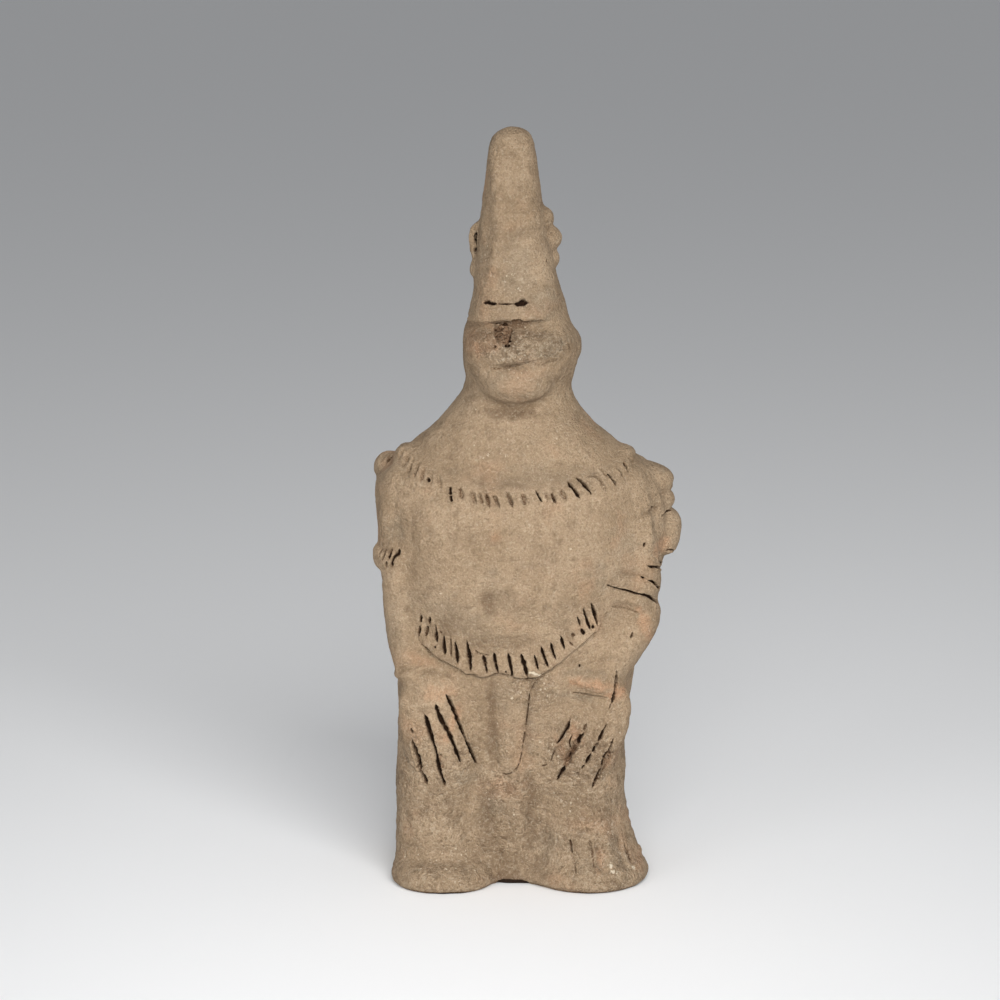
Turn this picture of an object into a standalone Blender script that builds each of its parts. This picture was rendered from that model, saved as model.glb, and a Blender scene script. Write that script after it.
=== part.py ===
"""A two-sided funerary figure in fired clay: two seated figures modelled back to back as one solid
piece, 350 mm tall, with a tall tapering head, a wide chest, hands on the thighs and a flat underside.

Sizes are written in millimetres and built in metres, +Z up. The origin is the middle of the underside,
and the front figure looks along -Y.
"""

import math

import bmesh
import bpy
from mathutils import Matrix, Vector

MM = 0.001
HEIGHT = 350.0
FOOT_FRONT = 48.6
FOOT_BACK = 45.0

CLAY_COLOUR = (0.435, 0.315, 0.208, 1.0)
CLAY_ROUGHNESS = 0.92

# How finely the wet joints are fused, and how far the fused skin is then reduced.
FUSE_VOXEL = 1.6
FUSE_SMOOTHING = 4
KEEP_RATIO = 0.064

FRONT = -1.0
BACK = 1.0

# The core, from the ground up: height, left edge, right edge, front depth, back depth, squareness.
CORE = (
    (-6.0, -56.0, 52.0, 32.0, 32.0, 2.8),
    (12.0, -56.5, 50.5, 30.0, 30.5, 2.8),
    (37.0, -57.5, 48.0, 31.5, 30.5, 2.9),
    (66.0, -57.0, 49.0, 33.5, 32.5, 2.9),
    (95.0, -58.0, 51.5, 36.5, 35.0, 2.8),
    (124.0, -61.5, 58.5, 40.0, 38.5, 2.6),
    (153.0, -64.5, 62.0, 42.5, 41.0, 2.6),
    (176.0, -67.5, 61.5, 40.0, 39.5, 2.5),
    (189.0, -66.5, 59.5, 35.5, 35.5, 2.4),
    (196.0, -59.0, 56.0, 32.5, 32.5, 2.2),
    (205.5, -48.0, 44.0, 29.0, 29.0, 2.2),
    (214.5, -38.5, 33.5, 26.0, 26.0, 2.2),
    (224.0, -30.5, 26.5, 22.0, 22.5, 2.2),
    (229.5, -26.5, 24.0, 20.0, 21.0, 2.3),
    (235.0, -25.0, 24.5, 20.5, 23.0, 2.4),
    (241.0, -26.0, 26.0, 23.5, 25.0, 2.5),
    (245.0, -26.5, 27.0, 25.5, 26.0, 2.8),
    (252.0, -26.5, 28.0, 25.5, 26.0, 2.8),
    (259.0, -25.5, 24.0, 23.5, 24.5, 2.8),
    (263.0, -23.5, 22.5, 23.0, 23.5, 2.6),
    (268.0, -23.0, 21.0, 23.0, 23.0, 2.7),
    (276.0, -21.0, 18.5, 22.0, 21.5, 2.7),
    (289.0, -20.5, 16.0, 20.0, 20.0, 2.7),
    (307.0, -18.5, 11.5, 18.0, 18.0, 2.7),
    (325.0, -16.5, 9.0, 15.0, 15.0, 2.6),
    (340.0, -15.0, 7.0, 12.0, 12.0, 2.4),
    (346.5, -12.5, 5.0, 9.0, 9.0, 2.2),
    (350.0, -6.5, 0.0, 3.0, 3.0, 2.0),
)
CORE_RINGS = 130
CORE_SIDES = 72

# The belly stands out in front of the thighs, above a hanging curve that the belt follows.
BELLY_PROUD = 2.6
BELLY_MIDDLE_X = -2.0
BELLY_BOTTOM_Z = 102.0
BELLY_TOP_Z = 200.0
BELLY_HALF_LEFT = 47.0
BELLY_HALF_RIGHT = 40.0
BELLY_RISE_LEFT = 17.0
BELLY_RISE_RIGHT = 24.0

BELT_WIDTH = 9.0
BELT_PROUD = 1.9
NECKLACE_WIDTH = 8.0
NECKLACE_PROUD = 1.1
NECKLACE_HALF = 55.0
NECKLACE_BOTTOM_Z = 184.0
NECKLACE_RISE = 17.0

DEPTH_AXIS = Vector((0.0, 1.0, 0.0))
ROPE_SIDES = 16
# How far past its last point a limb's end reaches, and how thin it is there, as shares of its radius.
ROUND_END = ((0.5, 0.82), (0.85, 0.45))


def catmull(before, start, end, after, t):
    """A smooth value between start and end, which also looks at the neighbours of both."""
    return 0.5 * (
        2.0 * start
        + (end - before) * t
        + (2.0 * before - 5.0 * start + 4.0 * end - after) * t * t
        + (3.0 * start - before - 3.0 * end + after) * t * t * t
    )


def core_at(z):
    """The core's left edge, right edge, front depth, back depth and squareness at a height."""
    place = 0
    while place < len(CORE) - 2 and z > CORE[place + 1][0]:
        place += 1
    rows = [CORE[min(max(place + step, 0), len(CORE) - 1)] for step in (-1, 0, 1, 2)]
    t = min(max((z - rows[1][0]) / (rows[2][0] - rows[1][0]), 0.0), 1.0)
    return [catmull(*(row[column] for row in rows), t) for column in range(1, 6)]


def smoothstep(low, high, value):
    t = min(max((value - low) / (high - low), 0.0), 1.0)
    return t * t * (3.0 - 2.0 * t)


def hanging_curve(x):
    """Height of the belly's lower edge at x, a curve that hangs between the two elbows."""
    offset = x - BELLY_MIDDLE_X
    if offset < 0.0:
        return BELLY_BOTTOM_Z + BELLY_RISE_LEFT * (offset / BELLY_HALF_LEFT) ** 2
    return BELLY_BOTTOM_Z + BELLY_RISE_RIGHT * (offset / BELLY_HALF_RIGHT) ** 2


def necklace_curve(x):
    """Height of the necklace at x, a shallow curve from shoulder to shoulder."""
    return NECKLACE_BOTTOM_Z + NECKLACE_RISE * (x / NECKLACE_HALF) ** 2


def belly(x, z):
    """How far the belly stands out of the core at a place on the front or the back."""
    edge = hanging_curve(x)
    below = smoothstep(edge - 1.0, edge + 18.0, z)
    above = 1.0 - smoothstep(152.0, BELLY_TOP_Z, z)
    half = BELLY_HALF_LEFT if x < BELLY_MIDDLE_X else BELLY_HALF_RIGHT
    sideways = 1.0 - smoothstep(0.55, 1.12, abs(x - BELLY_MIDDLE_X) / half)
    return BELLY_PROUD * below * above * sideways


def skin_y(x, z, facing):
    """Depth of the body's surface at a place on the front (facing -1) or the back (facing +1)."""
    left, right, front, back, squareness = core_at(z)
    across = min(abs(2.0 * x - left - right) / (right - left), 0.995)
    depth = front if facing < 0.0 else back
    return facing * (depth * (1.0 - across**squareness) ** (1.0 / squareness) + belly(x, z))


def mesh_object(name, bm):
    bmesh.ops.recalc_face_normals(bm, faces=bm.faces)
    bmesh.ops.scale(bm, vec=(MM, MM, MM), verts=bm.verts)
    mesh = bpy.data.meshes.new(name)
    bm.to_mesh(mesh)
    bm.free()
    made = bpy.data.objects.new(name, mesh)
    bpy.context.scene.collection.objects.link(made)
    return made


def skin_rings(name, rings):
    """A closed shape from rings of points that all have the same number of points."""
    bm = bmesh.new()
    loops = [[bm.verts.new(point) for point in ring] for ring in rings]
    count = len(loops[0])
    for lower, upper in zip(loops, loops[1:]):
        for side in range(count):
            after = (side + 1) % count
            bm.faces.new((lower[side], lower[after], upper[after], upper[side]))
    bm.faces.new(loops[0][::-1])
    bm.faces.new(loops[-1])
    return mesh_object(name, bm)


def core():
    """The trunk, thighs and tall head, with the belly pushed out on both sides."""
    rings = []
    bottom = CORE[0][0]
    for step in range(CORE_RINGS + 1):
        z = bottom + (HEIGHT - bottom) * step / CORE_RINGS
        left, right, front, back, squareness = core_at(z)
        ring = []
        for side in range(CORE_SIDES):
            angle = math.tau * side / CORE_SIDES
            wide, deep = math.cos(angle), math.sin(angle)
            across = math.copysign(abs(wide) ** (2.0 / squareness), wide)
            x = (left + right) / 2.0 + (right - left) / 2.0 * across
            depth = back if deep > 0.0 else front
            y = math.copysign(depth * abs(deep) ** (2.0 / squareness), deep)
            if abs(deep) > 1e-6:
                y += math.copysign(belly(x, z), deep) * smoothstep(0.0, 0.35, abs(deep))
            ring.append((x, y, z))
        rings.append(ring)
    return skin_rings("core", rings)


def rope(name, points, radii, flat=1.0):
    """A closed rope of clay through the points, flat times as thick from front to back as it is wide."""
    points = [Vector(point) for point in points]
    rings = []
    for place, point in enumerate(points):
        before = points[max(place - 1, 0)]
        after = points[min(place + 1, len(points) - 1)]
        along = (after - before).normalized()
        deep = (DEPTH_AXIS - DEPTH_AXIS.dot(along) * along).normalized()
        wide = along.cross(deep)
        ring = []
        for side in range(ROPE_SIDES):
            angle = math.tau * side / ROPE_SIDES
            ring.append(point + radii[place] * (wide * math.cos(angle) + deep * math.sin(angle) * flat))
        rings.append(ring)
    return skin_rings(name, rings)


def smooth_path(points, steps=6):
    """Points along a smooth curve through the given ones; each point may carry a radius after x, y, z."""
    path = []
    last = len(points) - 1
    for place in range(last):
        rows = [points[min(max(place + step, 0), last)] for step in (-1, 0, 1, 2)]
        for step in range(steps):
            t = step / steps
            path.append([catmull(*(row[column] for row in rows), t) for column in range(len(points[0]))])
    path.append(list(points[-1]))
    return path


def limb(name, points, flat=1.0):
    """A rope with round ends through (x, y, z, radius) points."""
    path = smooth_path(points)
    places = [row[:3] for row in path]
    radii = [row[3] for row in path]
    radii_at_ends = (radii[0], radii[-1])
    first, last = Vector(places[0]), Vector(places[-1])
    towards_first = (first - Vector(places[1])).normalized()
    towards_last = (last - Vector(places[-2])).normalized()
    for reach, thin in ROUND_END:
        places.insert(0, first + towards_first * radii_at_ends[0] * reach)
        radii.insert(0, radii_at_ends[0] * thin)
        places.append(last + towards_last * radii_at_ends[1] * reach)
        radii.append(radii_at_ends[1] * thin)
    return rope(name, places, radii, flat)


def pellet(name, centre, radii, tilt=0.0, square=2.0):
    """A pressed-on lump, tilted about Y in degrees; square is 2 for an egg and more for a block."""
    bm = bmesh.new()
    bmesh.ops.create_icosphere(bm, subdivisions=4, radius=1.0)
    for vert in bm.verts:
        vert.co = [math.copysign(abs(value) ** (2.0 / square), value) for value in vert.co]
    place = Matrix.Translation(centre) @ Matrix.Rotation(math.radians(tilt), 4, "Y")
    bmesh.ops.transform(bm, matrix=place @ Matrix.Diagonal((*radii, 1.0)), verts=bm.verts)
    return mesh_object(name, bm)


def legs(facing, tag):
    """Two thick legs, the ridge between them and the flared feet."""
    reach = FOOT_FRONT if facing < 0.0 else FOOT_BACK
    return [
        limb("narrow_leg_" + tag, [
            (-37.0, 16.0 * facing, -4.0, 22.0), (-38.0, 15.5 * facing, 25.0, 20.5),
            (-37.0, 15.5 * facing, 70.0, 20.5), (-34.0, 14.0 * facing, 105.0, 20.0),
        ]),
        limb("wide_leg_" + tag, [
            (30.0, 16.0 * facing, -8.0, 33.0), (30.0, 16.0 * facing, 0.0, 30.5),
            (30.0, 16.0 * facing, 6.0, 28.0), (30.0, 16.0 * facing, 14.0, 24.5),
            (29.5, 16.0 * facing, 22.0, 23.0), (27.5, 15.0 * facing, 36.0, 22.0),
            (28.0, 15.0 * facing, 70.0, 22.0), (30.0, 14.5 * facing, 100.0, 22.5),
        ]),
        limb("middle_ridge_" + tag, [
            (-1.0, 22.0 * facing, 10.0, 6.5), (-1.0, 25.0 * facing, 30.0, 7.5),
            (-1.0, 26.0 * facing, 62.0, 8.5),
        ]),
        pellet("narrow_foot_" + tag, (-35.5, facing * (reach - 25.0), -3.0), (25.5, 25.0, 21.0), square=2.2),
        pellet("wide_foot_" + tag, (30.0, facing * (reach - 27.0), -4.5), (27.5, 27.0, 23.0), square=2.1),
    ]


def front_arms():
    """The front figure's arms: from the shoulders down the sides, then in to the thighs."""
    return [
        limb("left_arm", [
            (-52.5, -12.0, 186.0, 12.0), (-55.0, -16.0, 168.0, 11.0), (-54.0, -19.5, 143.0, 10.0),
            (-52.0, -21.0, 121.0, 10.5), (-48.0, -26.0, 104.0, 10.5), (-42.0, -27.0, 90.0, 10.5),
        ]),
        limb("right_arm", [
            (48.5, -12.0, 185.0, 12.0), (51.5, -16.0, 167.0, 11.0), (54.0, -18.5, 143.0, 11.5),
            (53.5, -20.5, 126.0, 10.5), (43.5, -26.0, 108.0, 11.0), (34.0, -28.0, 94.0, 11.0),
        ]),
        pellet("left_hand", (-37.5, -29.5, 72.0), (18.0, 9.0, 34.0), tilt=-14.0),
        pellet("right_hand", (30.0, -30.0, 70.0), (19.0, 9.0, 34.0), tilt=24.0),
    ]


def back_arms():
    """The back figure's arms, a little wider than the front one's, so that both pairs show from the side."""
    return [
        limb("back_left_arm", [
            (-53.0, 12.0, 186.0, 12.5), (-56.0, 17.0, 166.0, 11.0), (-54.0, 20.0, 140.0, 10.0),
            (-51.0, 21.5, 118.0, 10.0), (-45.0, 26.0, 101.0, 10.5), (-37.0, 27.0, 88.0, 10.5),
        ]),
        limb("back_right_arm", [
            (52.0, 12.0, 184.0, 12.5), (54.0, 17.0, 166.0, 11.0), (53.0, 20.0, 140.0, 10.5),
            (50.0, 21.5, 118.0, 10.0), (43.0, 26.0, 101.0, 10.5), (35.0, 27.0, 88.0, 10.5),
        ]),
        pellet("back_left_hand", (-33.0, 29.5, 69.0), (17.5, 9.0, 32.0), tilt=-16.0),
        pellet("back_right_hand", (32.0, 29.5, 69.0), (17.5, 9.0, 32.0), tilt=16.0),
    ]


def band(name, curve, left, right, width, proud, facing, lift=0.0):
    """A strip pressed on to the body along a curve that gives its height at each x."""
    steps = 40
    points = []
    for step in range(steps + 1):
        x = left + (right - left) * step / steps
        z = curve(x) + lift
        points.append((x, skin_y(x, z, facing), z))
    radii = [width / 2.0] * len(points)
    radii[0] *= 0.75
    radii[-1] *= 0.75
    return rope(name, points, radii, flat=2.0 * proud / width)


def bands():
    lift = BELT_WIDTH * 0.5
    return [
        band("belt", hanging_curve, -45.0, 37.0, BELT_WIDTH, BELT_PROUD, FRONT, lift),
        band("back_belt", hanging_curve, -42.0, 37.0, BELT_WIDTH, BELT_PROUD, BACK, lift),
        band("necklace", necklace_curve, -53.0, 52.0, NECKLACE_WIDTH, NECKLACE_PROUD, FRONT),
        band("back_necklace", necklace_curve, -52.0, 52.0, NECKLACE_WIDTH, NECKLACE_PROUD, BACK),
    ]


def flaps():
    """The loin cloths: a narrow tongue that hangs from each belt."""
    return [
        limb("flap", [
            (-3.5, -31.5, 100.0, 9.5), (-4.5, -31.5, 80.0, 9.0), (-5.5, -31.5, 60.0, 7.0),
        ], flat=0.45),
        limb("back_flap", [
            (2.0, 31.0, 100.0, 9.0), (2.0, 31.0, 80.0, 8.5), (2.0, 31.0, 60.0, 7.0),
        ], flat=0.45),
    ]


def face(facing, tag, lean):
    """A brow over a hollow, the blocky muzzle with its upper lip, and a bowl-shaped lower lip and chin."""
    return [
        pellet("brow_" + tag, (-3.0 + lean, 11.5 * facing, 269.5), (18.0, 12.5, 6.0), square=2.6),
        pellet("muzzle_" + tag, (1.0 + lean, 8.5 * facing, 253.0), (25.5, 18.5, 8.5), square=2.9),
        pellet("upper_lip_" + tag, (-1.5 + lean, 10.0 * facing, 248.5), (20.0, 19.5, 5.0), square=2.3),
        pellet("lower_lip_" + tag, (-0.5 + lean, 8.5 * facing, 240.0), (22.5, 19.0, 6.5), square=2.4),
        pellet("chin_" + tag, (-1.5 + lean, 9.5 * facing, 235.0), (18.5, 19.0, 11.5), square=2.2),
    ]


def ears():
    """Pinched pellets down both sides of the head, shared by the two faces."""
    return [
        limb("left_ear", [
            (-18.5, -1.0, 306.0, 2.0), (-21.0, -1.5, 304.0, 2.0), (-22.0, -2.0, 301.0, 2.0),
            (-22.0, -2.0, 296.5, 2.0), (-20.5, -1.5, 292.0, 2.0), (-18.5, -1.0, 290.5, 2.0),
        ]),
        pellet("left_ear_drop", (-20.0, -1.0, 285.5), (3.0, 4.5, 4.5)),
        pellet("right_ear_top", (10.0, -1.0, 308.5), (5.5, 6.0, 5.5)),
        pellet("right_ear_middle", (13.0, -0.5, 299.0), (6.5, 6.0, 6.0)),
        pellet("right_ear_low", (14.0, 0.0, 289.5), (5.0, 5.5, 5.5)),
        pellet("right_cheek_lobe", (20.5, 1.0, 249.5), (8.0, 13.0, 9.0), square=2.3),
    ]


def shoulder_lumps():
    """Pressed-on lumps of the back figure's shoulders and armlet, which show past the front ones."""
    return [
        pellet("left_shoulder_knob", (-60.0, 6.5, 191.5), (8.5, 10.0, 7.0)),
        pellet("right_shoulder_knob", (58.5, 1.5, 187.5), (13.5, 11.0, 7.0), tilt=14.0, square=2.5),
        pellet("right_shoulder_step", (58.5, 1.5, 177.0), (13.5, 11.5, 6.0), tilt=2.0, square=2.4),
        pellet("right_arm_lump", (62.0, 1.5, 162.0), (13.5, 11.0, 11.5), tilt=4.0, square=3.1),
        pellet("right_arm_step", (56.5, 1.0, 150.0), (11.0, 12.0, 9.0), square=2.5),
        pellet("left_shoulder_bump", (-52.0, -5.0, 197.0), (7.0, 11.0, 7.0)),
        pellet("right_shoulder_bump", (46.5, -4.0, 197.5), (7.5, 11.0, 6.5)),
        pellet("leg_lump", (45.5, 16.0, 27.0), (6.5, 8.0, 8.5)),
    ]


def ring_round_arm(name, centre, radius, thick, tilt_x, tilt_y):
    """A bangle: a rope of clay bent into a ring; tilts are in degrees."""
    bm = bmesh.new()
    turn = Matrix.Rotation(math.radians(tilt_y), 4, "Y") @ Matrix.Rotation(math.radians(tilt_x), 4, "X")
    profile = bmesh.ops.create_circle(bm, cap_ends=False, radius=thick, segments=10)["verts"]
    stand = Matrix.Translation((radius, 0.0, 0.0)) @ Matrix.Rotation(math.radians(90.0), 4, "X")
    bmesh.ops.transform(bm, matrix=stand, verts=profile)
    bmesh.ops.spin(
        bm, geom=bm.verts[:] + bm.edges[:], axis=(0.0, 0.0, 1.0), cent=(0.0, 0.0, 0.0),
        angle=math.tau, steps=28, use_merge=True,
    )
    bmesh.ops.transform(bm, matrix=Matrix.Translation(centre) @ turn, verts=bm.verts)
    return mesh_object(name, bm)


def arm_rings():
    """Three rings above one elbow, an armband on the other arm, and the bands at the wrists."""
    pieces = []
    for place, (height, radius) in enumerate(((150.0, 10.5), (144.0, 11.0), (137.0, 11.0))):
        pieces.append(ring_round_arm(f"ring_{place}", (54.0, -18.5, height), radius, 2.2, 6.0, 12.0))
    for place, height in enumerate((157.0, 153.0)):
        pieces.append(ring_round_arm(f"armband_{place}", (-56.0, -18.0, height), 10.0, 2.4, 8.0, -8.0))
    pieces.append(ring_round_arm("wristband", (-46.0, -26.0, 100.5), 10.0, 1.8, 20.0, 20.0))
    pieces.append(ring_round_arm("bracelet", (37.0, -27.0, 98.5), 11.0, 2.0, 18.0, -28.0))
    return pieces


def wedge(name, start, end, width, depth):
    """A cutter for one groove: a four-sided spike of clay knife, deepest along the line start to end."""
    start, end = Vector(start), Vector(end)
    along = (end - start).normalized()
    inward = Vector((0.0, -math.copysign(1.0, start.y), 0.0))
    wide = along.cross(inward).normalized()
    rings = []
    quarter, three_quarters = start.lerp(end, 0.25), start.lerp(end, 0.75)
    for centre, share in ((start, 0.25), (quarter, 1.0), (three_quarters, 1.0), (end, 0.25)):
        half = wide * width * 0.5 * share
        top = centre - inward * 6.0
        low = centre + inward * depth * (0.35 + 0.65 * share)
        rings.append([top - half * 1.3, top + half * 1.3, low + half * 0.35, low - half * 0.35])
    cutter = skin_rings(name, rings)
    cutter.hide_render = True
    cutter.display_type = "WIRE"
    return cutter


def finger_cuts():
    """Straight knife cuts that part the fingers of the four hands: (x, z) at the top and at the tip."""
    front_cuts = (
        ((-49.5, 72.0), (-43.0, 49.5)), ((-43.5, 81.0), (-35.0, 50.0)),
        ((-38.5, 86.0), (-27.5, 60.0)), ((-34.0, 91.5), (-20.5, 61.0)),
        ((23.5, 81.5), (15.0, 61.0)), ((31.0, 78.5), (17.0, 52.5)),
        ((39.0, 76.5), (26.5, 54.5)), ((43.5, 72.0), (33.5, 48.0)),
    )
    cuts = []
    for place, (top, tip) in enumerate(front_cuts):
        start = (top[0], -38.0, top[1])
        cuts.append(wedge(f"finger_cut_{place}", start, (tip[0], -36.5, tip[1]), 1.8, 3.0))
    for hand in (-1.0, 1.0):
        for finger in range(4):
            spread = 40.5 - 5.5 * finger
            start = (hand * spread, 37.5, 77.0 + 2.0 * finger)
            tip = (hand * (spread - 7.0), 36.0, 54.5 + 1.5 * finger)
            cuts.append(wedge(f"back_finger_cut_{int(hand)}_{finger}", start, tip, 1.8, 3.0))
    return cuts


def face_cuts():
    """The slit eyes, and the groove between the lips, on both faces."""
    cuts = []
    for facing, tag, lean in ((FRONT, "front", 0.0), (BACK, "back", 4.0)):
        eye, lip = facing * 23.0, facing * 28.5
        cuts.append(wedge("eye_cut_" + tag, (-17.0 + lean, eye, 272.0), (3.5, eye, 272.5), 2.2, 3.5))
        corner = lip * 0.95
        cuts.append(wedge("lip_cut_a_" + tag, (-17.0 + lean, corner, 244.0), (-1.0, lip, 241.5), 1.6, 1.6))
        cuts.append(wedge("lip_cut_b_" + tag, (-3.0, lip, 241.5), (12.5, corner, 245.0), 1.6, 1.6))
    return cuts


def block(name, low, high):
    """A box-shaped cutter between two corners."""
    bm = bmesh.new()
    bmesh.ops.create_cube(bm, size=1.0)
    low, high = Vector(low), Vector(high)
    place = Matrix.Translation((low + high) / 2.0) @ Matrix.Diagonal((*(high - low), 1.0))
    bmesh.ops.transform(bm, matrix=place, verts=bm.verts)
    cutter = mesh_object(name, bm)
    cutter.hide_render = True
    cutter.display_type = "WIRE"
    return cutter


def ground_cut():
    return block("ground_cut", (-100.0, -100.0, -50.0), (100.0, 100.0, 0.0))


def fired_clay():
    material = bpy.data.materials.new("fired_clay")
    material.use_nodes = True
    shader = material.node_tree.nodes["Principled BSDF"]
    shader.inputs["Base Color"].default_value = CLAY_COLOUR
    shader.inputs["Roughness"].default_value = CLAY_ROUGHNESS
    shader.inputs["Metallic"].default_value = 0.0
    return material


def fuse(pieces, name):
    """One object from overlapping closed pieces, which its Remesh modifier fuses into one skin."""
    bm = bmesh.new()
    for piece in pieces:
        bm.from_mesh(piece.data)
        bpy.data.objects.remove(piece, do_unlink=True)
    bmesh.ops.scale(bm, vec=(1.0 / MM,) * 3, verts=bm.verts)
    figure = mesh_object(name, bm)
    remesh = figure.modifiers.new("fuse", "REMESH")
    remesh.mode = "VOXEL"
    remesh.voxel_size = FUSE_VOXEL * MM
    smooth = figure.modifiers.new("wet_hands", "SMOOTH")
    smooth.factor = 0.5
    smooth.iterations = FUSE_SMOOTHING
    thin = figure.modifiers.new("reduce", "DECIMATE")
    thin.ratio = KEEP_RATIO
    thin.use_collapse_triangulate = True
    return figure


def cut(figure, cutters):
    for cutter in cutters:
        modifier = figure.modifiers.new(cutter.name, "BOOLEAN")
        modifier.operation = "DIFFERENCE"
        modifier.solver = "EXACT"
        modifier.object = cutter


def main():
    for old in list(bpy.data.objects):
        bpy.data.objects.remove(old, do_unlink=True)
    pieces = [core()]
    pieces += legs(FRONT, "front") + legs(BACK, "back")
    pieces += front_arms() + back_arms()
    pieces += bands() + flaps()
    pieces += face(FRONT, "front", 0.0) + face(BACK, "back", -1.0)
    pieces += ears() + shoulder_lumps() + arm_rings()
    figure = fuse(pieces, "janiform_figure")
    cut(figure, finger_cuts() + face_cuts() + [ground_cut()])
    figure.data.materials.append(fired_clay())


main()
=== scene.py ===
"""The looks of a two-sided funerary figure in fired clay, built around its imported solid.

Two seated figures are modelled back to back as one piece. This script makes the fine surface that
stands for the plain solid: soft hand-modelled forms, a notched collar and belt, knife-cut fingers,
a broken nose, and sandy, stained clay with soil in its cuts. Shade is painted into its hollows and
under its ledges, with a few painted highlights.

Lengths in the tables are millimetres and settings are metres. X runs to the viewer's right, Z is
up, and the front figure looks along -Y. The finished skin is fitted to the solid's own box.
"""

import math

import bmesh
import bpy
import numpy as np
from bpy.props import FloatProperty, FloatVectorProperty, IntProperty, PointerProperty
from mathutils import Matrix, Vector
from mathutils.bvhtree import BVHTree


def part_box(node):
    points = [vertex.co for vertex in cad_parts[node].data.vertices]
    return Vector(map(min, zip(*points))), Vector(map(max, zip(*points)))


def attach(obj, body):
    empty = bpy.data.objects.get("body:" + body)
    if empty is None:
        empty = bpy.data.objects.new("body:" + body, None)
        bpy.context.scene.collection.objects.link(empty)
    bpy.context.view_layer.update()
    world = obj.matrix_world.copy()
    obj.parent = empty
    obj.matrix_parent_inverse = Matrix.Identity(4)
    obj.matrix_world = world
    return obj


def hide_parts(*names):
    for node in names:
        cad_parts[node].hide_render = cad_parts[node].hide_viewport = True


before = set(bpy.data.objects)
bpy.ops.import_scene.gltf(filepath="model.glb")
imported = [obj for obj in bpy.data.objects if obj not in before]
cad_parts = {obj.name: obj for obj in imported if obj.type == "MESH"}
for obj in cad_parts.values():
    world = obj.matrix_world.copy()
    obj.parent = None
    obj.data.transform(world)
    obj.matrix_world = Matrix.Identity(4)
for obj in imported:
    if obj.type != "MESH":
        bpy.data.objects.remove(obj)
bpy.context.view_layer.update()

bl_info = {
    "name": "Two-Sided Clay Figure",
    "version": (1, 0, 0),
    "blender": (4, 5, 0),
    "location": "3D View > Sidebar > Clay Figure",
    "description": "Models and finishes a hand-made funerary figure in fired clay",
    "category": "Add Mesh",
}

NODE = "janiform_figure"
BODY = "root"

MM = 0.001
FRONT = -1.0
BACK = 1.0
HEIGHT = 350.0

# ---- The forms, before anything is cut into them ------------------------------------------------

# The core, from the ground up: height, left edge, right edge, front depth, back depth, squareness.
CORE = (
    (-6, -56, 52, 32, 32, 2.8), (12, -56.5, 50.5, 30, 30.5, 2.8), (37, -57.5, 48, 31.5, 30.5, 2.9),
    (66, -57, 50, 33.5, 32.5, 2.9), (95, -58, 54, 36.5, 35, 2.8), (124, -61.5, 58.5, 40, 38.5, 2.6),
    (153, -64.5, 62, 42.5, 41, 2.6), (176, -67.5, 61.5, 40, 39.5, 2.5), (189, -66.5, 59.5, 35.5, 35.5, 2.4),
    (196, -59, 56, 32.5, 32.5, 2.2), (205.5, -48, 44, 29, 29, 2.2), (214.5, -38.5, 33.5, 26, 26, 2.2),
    (224, -30.5, 26.5, 22, 22.5, 2.2), (229.5, -26.5, 24, 20, 21, 2.3), (235, -25, 24.5, 20.5, 23, 2.4),
    (241, -26, 26, 23.5, 25, 2.5), (245, -26.5, 27, 25.5, 26, 2.8), (252, -26.5, 28, 25.5, 26, 2.8),
    (259, -25.5, 24, 23.5, 24.5, 2.8), (263, -23.5, 22.5, 23, 23.5, 2.6), (268, -23, 21, 23, 23, 2.7),
    (276, -21, 18.5, 22, 21.5, 2.7), (289, -20.5, 16, 20, 20, 2.7), (307, -18.5, 11.5, 18, 18, 2.7),
    (325, -16.5, 9, 15, 15, 2.6), (340, -15, 7, 12, 12, 2.4), (346.5, -12.5, 5, 9, 9, 2.2),
    (350, -6.5, 0, 3, 3, 2),
)
CORE_RINGS = 180
CORE_SIDES = 96

# The belt's lower edge on the front: a torn, sagging line from one elbow to the other.
BELT_EDGE = (
    (-50, 121), (-47, 118), (-43.5, 114.5), (-38.5, 111.5), (-34, 109), (-29.5, 107), (-26, 104.5),
    (-24, 103.5), (-22, 104), (-18.5, 102.5), (-15, 102.5), (-11.5, 104), (-7, 104), (-3.5, 103),
    (0.5, 101.5), (4.5, 101.5), (9, 103), (13, 105), (18, 109), (22, 113), (26, 116), (31, 120),
    (35.5, 124), (38.5, 127.5),
)
# The back one is plainer: a smooth sag that is given by its lowest point and its rise.
BACK_BELT_LOW, BACK_BELT_RISE, BACK_BELT_HALF = 104.0, 17.0, 43.0
COLLAR_LOW, COLLAR_RISE, COLLAR_HALF = 184.0, 17.0, 55.0

BELLY_PROUD = 2.6
BELLY_SPAN = (-1.0, 18.0)
BELLY_TOP, BELLY_FULL = 200.0, 152.0
BELLY_HALF = (47.0, 40.0)
BELLY_MIDDLE = -2.0

# Limbs go through (x, out, z, radius) places, where out is the distance towards the side that the
# limb's own figure faces. Lumps are the middle (x, out, z), the half sizes, the tilt about Y in
# degrees and the squareness.
LEGS = (
    ((-37, 16, -4, 22), (-38, 15.5, 25, 20.5), (-37, 15.5, 70, 20.5), (-34, 14, 105, 20)),
    ((29.5, 16, 22, 23), (27.5, 15, 36, 22), (28, 15, 70, 22), (30, 14.5, 100, 22.5)),
    ((-1, 22, 10, 6.5), (-1, 25, 30, 7.5), (-1, 26, 62, 8.5)),
)
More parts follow.
